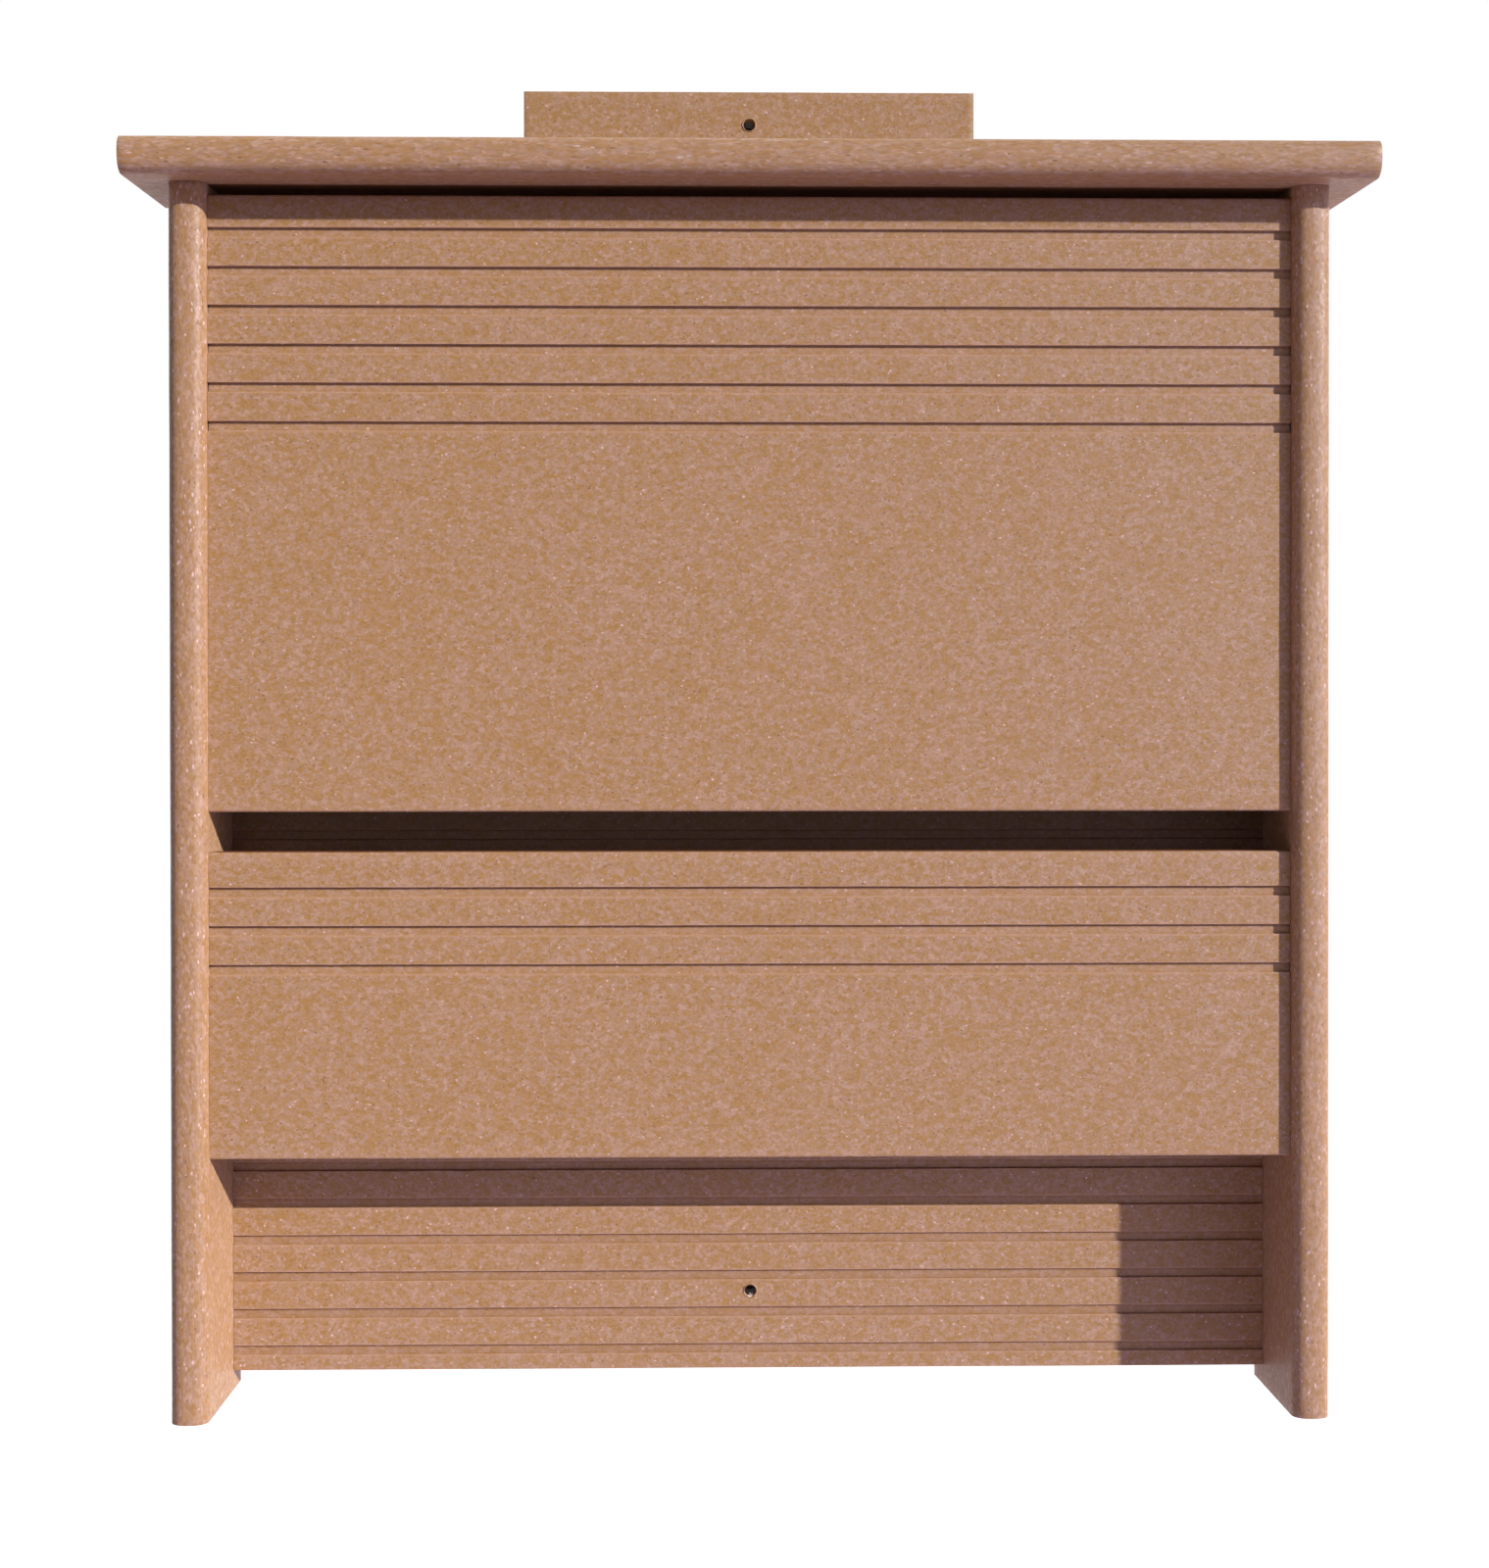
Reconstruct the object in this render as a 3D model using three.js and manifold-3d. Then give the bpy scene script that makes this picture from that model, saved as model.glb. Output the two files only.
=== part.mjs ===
// A wall-hung bat box of recycled-plastic lumber. Two side boards hold a grooved back panel and
// two front panels around one roosting chamber. A sloping roof board covers them, and the back
// panel's hanger tab stands up through a notch in the roof's rear edge.
// Lengths are in millimetres. +Z is up, the front faces -Y, and the wall is the plane y = 0.
// Heights are counted from the feet of the side boards until the last lines, which move the
// origin to the wall face, midway between the two hanging holes.
import * as THREE from 'three';
import { mergeVertices } from 'three/addons/utils/BufferGeometryUtils.js';
import Module from 'manifold-3d';

const manifold = await Module();
manifold.setup();

// Stock and overall sizes
const boardThickness = 15.9;
const bodyWidth = 495;
const chamberDepth = 30.6;
const sideFrontOverhang = 7.2;

// Rounded long edges of the side boards and the roof: two corner arcs and a crowned middle
const edgeCornerRadius = 6.1;
const edgeCrownRadius = 16;

// Front panels, from the feet upwards
const lowerPanelBase = 111.6;
const lowerPanelHeight = 131.3;
const ventHeight = 17.1;
const upperPanelHeight = 263;
const eavesGap = 4.3;
const panelEasing = 1.2;

// Back panel and its hanger tab
const backPanelBase = 8.7;
const tabWidth = 201.5;
const tabRise = 34;
const hangingHoleDiameter = 5.4;
const upperHoleDrop = 14.8;
const lowerHoleRise = 34.8;

// Grip grooves: heights are to the middle of the first groove
const grooveHeight = 4;
const grooveDepth = 1.6;
const groovePitch = 16.5;
const upperPanelGrooves = 6;
const upperFirstGrooveDrop = 16;
const lowerPanelGrooves = 3;
const lowerFirstGrooveDrop = 17.2;
const backFirstGrooveRise = 9;

// Roof board
const roofSlope = THREE.MathUtils.degToRad(4);
const roofFrontOverhang = 18.6;
const roofSideOverhang = 15.5;

// Countersunk screws with a square drive
const screwLength = 32;
const screwShankDiameter = 4;
const screwHeadDiameter = 8.2;
const screwHeadRim = 0.4;
const screwTipLength = 5;
const driveWidth = 2.6;
const driveDepth = 2;
const upperPanelScrews = 3;
const lowerPanelScrews = 2;
const backPanelScrews = 4;
const roofScrews = 2;
const panelScrewInset = 26;
const backScrewInset = 30;
const roofScrewInset = 18;

// Clearances
const jointGap = 0.4;
const roofSeatGap = 0.3;
const notchClearance = 0.6;
const screwClearance = 0.3;
const screwHeadSink = 0.3;
const cutOverrun = 5;

// Finish: tan flecked plastic and bare stainless steel
const sheetColour = 0xb88b68;
const boardColour = 0xbb8e6c;
const plasticRoughness = 0.72;
const steelColour = 0xb9bcc0;
const steelRoughness = 0.32;

// Smoothness of round stretches
const cornerSteps = 7;
const crownSteps = 4;
const easingSteps = 3;
const screwSides = 16;
const holeSides = 24;

// Places worked out from the sizes above
const halfThickness = boardThickness / 2;
const cornerMiddle = halfThickness - edgeCornerRadius;
const crownAngle = Math.asin(cornerMiddle / (edgeCrownRadius - edgeCornerRadius));
const edgeDepth = edgeCrownRadius - (edgeCrownRadius - edgeCornerRadius) * Math.cos(crownAngle);
const panelFaceY = -(2 * boardThickness + chamberDepth);
const sideDepth = sideFrontOverhang - panelFaceY;
const backFaceY = -boardThickness;
const innerWidth = bodyWidth - 2 * boardThickness;
const panelWidth = innerWidth - 2 * jointGap;
const upperPanelBase = lowerPanelBase + lowerPanelHeight + ventHeight;
const roofUndersideAtFace = upperPanelBase + upperPanelHeight + eavesGap;
const roofUnderside = (y) => roofUndersideAtFace + (y - panelFaceY) * Math.tan(roofSlope);
const shoulderHeight = roofUnderside(backFaceY) - roofSeatGap;
const roofTopAtWall = roofUnderside(0) + boardThickness / Math.cos(roofSlope);
const tabTop = roofTopAtWall + tabRise;
const upperHoleHeight = tabTop - upperHoleDrop;
const lowerHoleHeight = backPanelBase + lowerHoleRise;
const originHeight = (upperHoleHeight + lowerHoleHeight) / 2;
const sideCentreX = (bodyWidth - boardThickness) / 2;
const panelMiddleY = panelFaceY + halfThickness;
const backMiddleY = backFaceY / 2;

// Points on a circular arc, both ends included
function arcPoints(centreX, centreY, radius, startAngle, endAngle, steps) {
  const points = [];
  for (let step = 0; step <= steps; step++) {
    const angle = startAngle + ((endAngle - startAngle) * step) / steps;
    points.push(
      new THREE.Vector2(centreX + radius * Math.cos(angle), centreY + radius * Math.sin(angle)),
    );
  }
  return points;
}

// A rounded board edge seen end-on, listed across the board's thickness: x is the depth behind
// the edge's tip, y the place across from the board's middle
function roundedEdge() {
  const crownStart = -Math.PI + crownAngle;
  const crownEnd = -Math.PI - crownAngle;
  return [
    ...arcPoints(edgeDepth, -cornerMiddle, edgeCornerRadius, -Math.PI / 2, crownStart, cornerSteps),
    ...arcPoints(edgeCrownRadius, 0, edgeCrownRadius, crownStart, crownEnd, crownSteps).slice(1, -1),
    ...arcPoints(edgeDepth, cornerMiddle, edgeCornerRadius, crownEnd, (-3 * Math.PI) / 2, cornerSteps),
  ];
}

// Evenly spread places between two limits, the first and last set in by an inset
function spread(low, high, inset, count) {
  const places = [];
  for (let index = 0; index < count; index++) {
    const share = count > 1 ? index / (count - 1) : 0.5;
    places.push(low + inset + (high - low - 2 * inset) * share);
  }
  return places;
}

function toSolid(geometry) {
  const bare = geometry.clone();
  bare.deleteAttribute('normal');
  bare.deleteAttribute('uv');
  const merged = mergeVertices(bare);
  const mesh = new manifold.Mesh({
    numProp: 3,
    vertProperties: new Float32Array(merged.attributes.position.array),
    triVerts: new Uint32Array(merged.index.array),
  });
  return new manifold.Manifold(mesh);
}

function toGeometry(solid) {
  const mesh = solid.getMesh();
  const geometry = new THREE.BufferGeometry();
  geometry.setAttribute('position', new THREE.BufferAttribute(mesh.vertProperties, 3));
  geometry.setIndex(new THREE.BufferAttribute(mesh.triVerts, 1));
  geometry.computeVertexNormals();
  return geometry;
}

function cutAway(solid, cutters) {
  return cutters.reduce((rest, cutter) => rest.subtract(toSolid(cutter)), solid);
}

// A prism along X from an outline drawn with depth across and height up, centred on x = 0
function prismAlongX(outline, width) {
  const geometry = new THREE.ExtrudeGeometry(new THREE.Shape(outline), {
    depth: width,
    bevelEnabled: false,
  });
  const axes = new THREE.Matrix4().makeBasis(
    new THREE.Vector3(0, 1, 0),
    new THREE.Vector3(0, 0, 1),
    new THREE.Vector3(1, 0, 0),
  );
  return geometry.applyMatrix4(axes).translate(-width / 2, 0, 0);
}

// A rectangular block between two corners
function block(low, high) {
  const size = new THREE.Vector3().subVectors(high, low);
  const middle = new THREE.Vector3().addVectors(high, low).multiplyScalar(1 / 2);
  return new THREE.BoxGeometry(size.x, size.y, size.z).translate(middle.x, middle.y, middle.z);
}

// The end view of a grooved panel: its front face at depth 0, its lower edge at height 0,
// its two front edges eased where an easing is given
function panelOutline(height, grooveMiddles, easing) {
  const outline = [new THREE.Vector2(boardThickness, 0)];
  if (easing > 0) {
    outline.push(...arcPoints(easing, easing, easing, -Math.PI / 2, -Math.PI, easingSteps));
  } else {
    outline.push(new THREE.Vector2(0, 0));
  }
  for (const middle of grooveMiddles) {
    const low = middle - grooveHeight / 2;
    const high = middle + grooveHeight / 2;
    outline.push(
      new THREE.Vector2(0, low),
      new THREE.Vector2(grooveDepth, low),
      new THREE.Vector2(grooveDepth, high),
      new THREE.Vector2(0, high),
    );
  }
  if (easing > 0) {
    outline.push(...arcPoints(easing, height - easing, easing, Math.PI, Math.PI / 2, easingSteps));
  } else {
    outline.push(new THREE.Vector2(0, height));
  }
  outline.push(new THREE.Vector2(boardThickness, height));
  return outline;
}

// Groove middles counted down from a panel's top edge, listed from the lowest
function groovesFromTop(height, firstDrop, count) {
  const middles = [];
  for (let index = count - 1; index >= 0; index--) {
    middles.push(height - firstDrop - index * groovePitch);
  }
  return middles;
}

// Groove middles counted up the back panel as far as the shoulders under the roof
function groovesUpBack(height) {
  const middles = [];
  for (let middle = backFirstGrooveRise; middle < height - grooveHeight; middle += groovePitch) {
    middles.push(middle);
  }
  return middles;
}

// A countersunk screw shape with its head's top at the origin, pointing down -Z.
// A margin widens it into the hole that takes it.
function screwShape(margin, headCover) {
  const headRadius = screwHeadDiameter / 2 + margin;
  const shankRadius = screwShankDiameter / 2 + margin;
  const neck = -(screwHeadRim + headRadius - shankRadius);
  const profile = [
    new THREE.Vector2(0, -(screwLength + margin)),
    new THREE.Vector2(shankRadius, -(screwLength + margin - screwTipLength)),
    new THREE.Vector2(shankRadius, neck),
    new THREE.Vector2(headRadius, -screwHeadRim),
    new THREE.Vector2(headRadius, headCover),
    new THREE.Vector2(0, headCover),
  ];
  return new THREE.LatheGeometry(profile, screwSides).rotateX(Math.PI / 2);
}

const screwSolid = cutAway(toSolid(screwShape(0, 0)), [
  block(
    new THREE.Vector3(-driveWidth / 2, -driveWidth / 2, -driveDepth),
    new THREE.Vector3(driveWidth / 2, driveWidth / 2, cutOverrun),
  ),
]);
const screwGeometry = toGeometry(screwSolid);
const screwHole = screwShape(screwClearance, cutOverrun);

// Where a screw sits: its head just under a surface point, its tip along a direction
function screwPlace(point, direction) {
  const turn = new THREE.Quaternion().setFromUnitVectors(new THREE.Vector3(0, 0, -1), direction);
  const seat = point.clone().addScaledVector(direction, screwHeadSink);
  return new THREE.Matrix4().compose(seat, turn, new THREE.Vector3(1, 1, 1));
}

// One row of screws driven through a side board from outside. side is -1 on the left, 1 right.
function sideScrewPlaces(side, y, heights) {
  const inward = new THREE.Vector3(-side, 0, 0);
  const outerX = (side * bodyWidth) / 2;
  return heights.map((height) => screwPlace(new THREE.Vector3(outerX, y, height), inward));
}

function holesAt(places) {
  return places.map((place) => screwHole.clone().applyMatrix4(place));
}

const sides = [
  { name: 'left', sign: -1 },
  { name: 'right', sign: 1 },
];
const upperPanelScrewHeights = spread(
  upperPanelBase,
  upperPanelBase + upperPanelHeight,
  panelScrewInset,
  upperPanelScrews,
);
const lowerPanelScrewHeights = spread(
  lowerPanelBase,
  lowerPanelBase + lowerPanelHeight,
  panelScrewInset,
  lowerPanelScrews,
);
const backScrewHeights = spread(backPanelBase, shoulderHeight, backScrewInset, backPanelScrews);
const screwPlaces = {};
for (const { name, sign } of sides) {
  screwPlaces[name] = {
    upper: sideScrewPlaces(sign, panelMiddleY, upperPanelScrewHeights),
    lower: sideScrewPlaces(sign, panelMiddleY, lowerPanelScrewHeights),
    back: sideScrewPlaces(sign, backMiddleY, backScrewHeights),
  };
}

// The roof's own frame: its origin lies on the underside above the panels' front face, with
// +Y running back up the slope
const roofGroup = new THREE.Group();
roofGroup.position.set(0, panelFaceY, roofUndersideAtFace);
roofGroup.rotation.x = roofSlope;
roofGroup.updateMatrix();
const roofFromBody = roofGroup.matrix.clone().invert();
const roofLean = halfThickness * Math.sin(roofSlope);
const frontCrownY = edgeCrownRadius - sideDepth - roofFrontOverhang;
const rearCrownY = -edgeCrownRadius;
const roofFrontTip =
  (frontCrownY - panelFaceY + roofLean) / Math.cos(roofSlope) - edgeCrownRadius;
const roofRearTip = (rearCrownY - panelFaceY + roofLean) / Math.cos(roofSlope) + edgeCrownRadius;

const roofScrewDepths = spread(
  -sideFrontOverhang / Math.cos(roofSlope),
  -panelFaceY / Math.cos(roofSlope),
  roofScrewInset,
  roofScrews,
);
for (const { name, sign } of sides) {
  screwPlaces[name].roof = roofScrewDepths.map((depth) =>
    screwPlace(
      new THREE.Vector3(sign * sideCentreX, depth, boardThickness),
      new THREE.Vector3(0, 0, -1),
    ),
  );
}
const roofHolesInBody = (name) =>
  screwPlaces[name].roof.map((place) =>
    screwHole.clone().applyMatrix4(new THREE.Matrix4().multiplyMatrices(roofGroup.matrix, place)),
  );

// A side board: its front edge rounded, its rear edge square against the wall, its top cut to
// the slope of the roof and its screw holes countersunk from outside
function sideBoard({ name, sign }) {
  const outline = [
    ...roundedEdge().map((point) => new THREE.Vector2(point.y, point.x - sideDepth)),
    new THREE.Vector2(halfThickness, 0),
    new THREE.Vector2(-halfThickness, 0),
  ];
  const tallest = roofUnderside(0) + cutOverrun;
  const board = new THREE.ExtrudeGeometry(new THREE.Shape(outline), {
    depth: tallest,
    bevelEnabled: false,
  }).translate(sign * sideCentreX, 0, 0);
  const roofSpace = block(
    new THREE.Vector3(-bodyWidth, -2 * sideDepth, -roofSeatGap),
    new THREE.Vector3(bodyWidth, 2 * sideDepth, boardThickness + sideDepth),
  ).applyMatrix4(roofGroup.matrix);
  const places = screwPlaces[name];
  return cutAway(toSolid(board), [
    roofSpace,
    ...holesAt([...places.upper, ...places.lower, ...places.back]),
    ...roofHolesInBody(name),
  ]);
}

// A front panel between the side boards
function frontPanel(base, height, grooveMiddles, key) {
  const outline = panelOutline(height, grooveMiddles, panelEasing);
  const panel = prismAlongX(outline, panelWidth).translate(0, panelFaceY, base);
  return cutAway(toSolid(panel), [
    ...holesAt(screwPlaces.left[key]),
    ...holesAt(screwPlaces.right[key]),
  ]);
}

// A round hole from front to rear
function hangingHole(height) {
  const radius = hangingHoleDiameter / 2;
  const length = boardThickness + 2 * cutOverrun;
  return new THREE.CylinderGeometry(radius, radius, length, holeSides).translate(
    0,
    backMiddleY,
    height,
  );
}

// The back panel, grooved up to its shoulders, with the plain hanger tab above them
function backPanel() {
  const outline = panelOutline(
    tabTop - backPanelBase,
    groovesUpBack(shoulderHeight - backPanelBase),
    0,
  );
  const sheet = prismAlongX(outline, panelWidth).translate(0, backFaceY, backPanelBase);
  const shoulders = sides.map(({ sign }) =>
    block(
      new THREE.Vector3(
        Math.min(sign * (tabWidth / 2), sign * bodyWidth),
        backFaceY - cutOverrun,
        shoulderHeight,
      ),
      new THREE.Vector3(
        Math.max(sign * (tabWidth / 2), sign * bodyWidth),
        cutOverrun,
        tabTop + cutOverrun,
      ),
    ),
  );
  return cutAway(toSolid(sheet), [
    ...shoulders,
    hangingHole(upperHoleHeight),
    hangingHole(lowerHoleHeight),
    ...holesAt(screwPlaces.left.back),
    ...holesAt(screwPlaces.right.back),
  ]);
}

// The roof board, both long edges rounded, notched at the rear for the hanger tab
function roofBoard() {
  const edge = roundedEdge();
  const outline = [
    ...edge.map((point) => new THREE.Vector2(roofFrontTip + point.x, halfThickness + point.y)),
    ...edge.map((point) => new THREE.Vector2(roofRearTip - point.x, halfThickness - point.y)),
  ];
  const board = prismAlongX(outline, bodyWidth + 2 * roofSideOverhang);
  const notch = block(
    new THREE.Vector3(
      -tabWidth / 2 - notchClearance,
      backFaceY - notchClearance,
      roofUndersideAtFace - boardThickness,
    ),
    new THREE.Vector3(tabWidth / 2 + notchClearance, cutOverrun, tabTop),
  ).applyMatrix4(roofFromBody);
  return cutAway(toSolid(board), [
    notch,
    ...holesAt([...screwPlaces.left.roof, ...screwPlaces.right.roof]),
  ]);
}

function plasticMaterial(colour) {
  return new THREE.MeshStandardMaterial({
    color: colour,
    roughness: plasticRoughness,
    metalness: 0,
  });
}

function screwMaterial() {
  return new THREE.MeshStandardMaterial({
    color: steelColour,
    roughness: steelRoughness,
    metalness: 1,
  });
}

function namedMesh(name, geometry, material) {
  const mesh = new THREE.Mesh(geometry, material);
  mesh.name = name;
  return mesh;
}

const batBox = new THREE.Group();
batBox.name = 'bat_box';
batBox.position.z = -originHeight;

const upperGrooves = groovesFromTop(upperPanelHeight, upperFirstGrooveDrop, upperPanelGrooves);
const lowerGrooves = groovesFromTop(lowerPanelHeight, lowerFirstGrooveDrop, lowerPanelGrooves);
const upperPanel = frontPanel(upperPanelBase, upperPanelHeight, upperGrooves, 'upper');
const lowerPanel = frontPanel(lowerPanelBase, lowerPanelHeight, lowerGrooves, 'lower');

batBox.add(
  namedMesh('back_panel', toGeometry(backPanel()), plasticMaterial(sheetColour)),
  namedMesh('upper_front_panel', toGeometry(upperPanel), plasticMaterial(sheetColour)),
  namedMesh('lower_front_panel', toGeometry(lowerPanel), plasticMaterial(sheetColour)),
);
for (const side of sides) {
  const board = toGeometry(sideBoard(side));
  batBox.add(namedMesh(`${side.name}_side`, board, plasticMaterial(boardColour)));
}
roofGroup.add(namedMesh('roof', toGeometry(roofBoard()), plasticMaterial(boardColour)));

// Each screw is one body of its own, placed and turned by its seat
function addScrews(parent, name, places) {
  places.forEach((place, index) => {
    const screw = namedMesh(`${name}_${index + 1}`, screwGeometry, screwMaterial());
    screw.applyMatrix4(place);
    parent.add(screw);
  });
}

for (const { name } of sides) {
  const places = screwPlaces[name];
  addScrews(batBox, `upper_front_screw_${name}`, places.upper);
  addScrews(batBox, `lower_front_screw_${name}`, places.lower);
  addScrews(batBox, `back_panel_screw_${name}`, places.back);
  addScrews(roofGroup, `roof_screw_${name}`, places.roof);
}
batBox.add(roofGroup);

export default batBox;
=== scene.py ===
"""The looks of a wall-hung bat box made of flecked recycled-plastic lumber.

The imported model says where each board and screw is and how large. This script makes each board
again with its rounded edges, eased sawn edges, routed grip grooves, countersunk holes and the
slight unevenness of extruded plastic, makes each screw with its thread and square recess, gives
all of them their finishes, and sets a plain studio around them. Lengths are in metres, written as
millimetres times MM.
"""

import logging
import math
from dataclasses import dataclass, field, replace
from enum import Enum

import bmesh
import bpy
import numpy as np
from mathutils import Matrix, Vector


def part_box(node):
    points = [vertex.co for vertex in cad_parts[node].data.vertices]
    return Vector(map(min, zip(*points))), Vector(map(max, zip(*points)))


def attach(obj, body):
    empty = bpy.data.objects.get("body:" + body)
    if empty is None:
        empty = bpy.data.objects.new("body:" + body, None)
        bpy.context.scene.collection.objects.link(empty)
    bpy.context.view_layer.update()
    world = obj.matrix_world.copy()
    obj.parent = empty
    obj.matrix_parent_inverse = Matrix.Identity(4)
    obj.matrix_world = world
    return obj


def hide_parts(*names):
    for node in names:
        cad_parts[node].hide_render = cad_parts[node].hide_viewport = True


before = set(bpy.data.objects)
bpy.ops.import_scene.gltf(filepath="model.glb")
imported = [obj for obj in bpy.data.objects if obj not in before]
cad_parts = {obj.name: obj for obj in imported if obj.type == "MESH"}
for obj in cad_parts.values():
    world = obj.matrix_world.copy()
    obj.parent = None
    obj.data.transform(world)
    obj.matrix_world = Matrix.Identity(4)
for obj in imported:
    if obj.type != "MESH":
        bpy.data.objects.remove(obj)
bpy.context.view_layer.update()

log = logging.getLogger("bat_box")

Tree = bpy.types.NodeTree
Node = bpy.types.Node
Socket = bpy.types.NodeSocket
Material = bpy.types.Material
Mesh = bpy.types.Mesh
Piece = bpy.types.Object
Point = tuple[float, float]

MM = 0.001
BODY = "root"
CREASE_DEGREES = 38.0
# Measures of every point of a board, from 0 to 1: how worn it is, with painted highlights and painted
# light, and how much painted shade lies on it.
WEAR_AND_HIGHLIGHT, PAINTED_SHADE = "wear_and_highlight", "painted_shade"
# A board's two materials, by their place on it.
SKIN, SAWN = 0, 1
# The sockets of a Mix node that mixes colours.
MIX_FACTOR, MIX_A, MIX_B, MIX_RESULT = 0, 6, 7, 2


class Grain(Enum):
    """The axis along which a board came out of the extruder, which draws its flecks out."""

    ACROSS = 0
    UPRIGHT = 2


class Solid(Enum):
    """What one solid does to another, by the name of the boolean operation."""

    CUT = "DIFFERENCE"
    WELD = "UNION"


def linear_colour(hex_code: str) -> tuple[float, float, float, float]:
    """Turns an sRGB colour into the linear one that shaders take.

    Args:
        hex_code: Six hexadecimal digits, two each for red, green and blue.

    Returns:
        Linear red, green and blue from 0 to 1, and an alpha of 1.
    """
    channels = [int(hex_code[i : i + 2], 16) / 255 for i in (0, 2, 4)]
    linear = [c / 12.92 if c <= 0.04045 else ((c + 0.055) / 1.055) ** 2.4 for c in channels]
    return (linear[0], linear[1], linear[2], 1.0)


def add_node(
    tree: Tree,
    kind: str,
    settings: dict[str | int, object] | None = None,
    links: dict[str | int, Socket | Node] | None = None,
    stops: list[tuple[float, str]] | None = None,
) -> Node:
    """Adds one shader node.

    Args:
        tree: The node tree that it goes into.
        kind: The node's type, such as ShaderNodeTexNoise.
        settings: Values by the name of a property, or by the name or number of an input.
        links: What feeds an input, by its name or number. A node feeds it by its first output.
        stops: Places and sRGB hex colours of a colour ramp.

    Returns:
        The new node.
    """
    node = tree.nodes.new(kind)
    for key, value in (settings or {}).items():
        if isinstance(key, str) and hasattr(node, key):
            setattr(node, key, value)
        else:
            node.inputs[key].default_value = value
    for key, source in (links or {}).items():
        socket = source if isinstance(source, Socket) else source.outputs[0]
        tree.links.new(socket, node.inputs[key])
    for index, (place, hex_code) in enumerate(stops or []):
        elements = node.color_ramp.elements
        stop = elements[index] if index < len(elements) else elements.new(place)
        stop.position = place
        stop.color = linear_colour(hex_code)
    return node


def wave_scale(pitch: float) -> float:
    """The scale at which a wave texture repeats at a pitch: it turns 20 radians per unit."""
    return 2 * math.pi / (20 * pitch)


def new_material(name: str) -> Material:
    """Makes an empty node material.

    Args:
        name: What the material is and how its surface was made.

    Returns:
        The material, with no nodes.
    """
    material = bpy.data.materials.new(name)
    material.use_nodes = True
    material.node_tree.nodes.clear()
    return material


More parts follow.
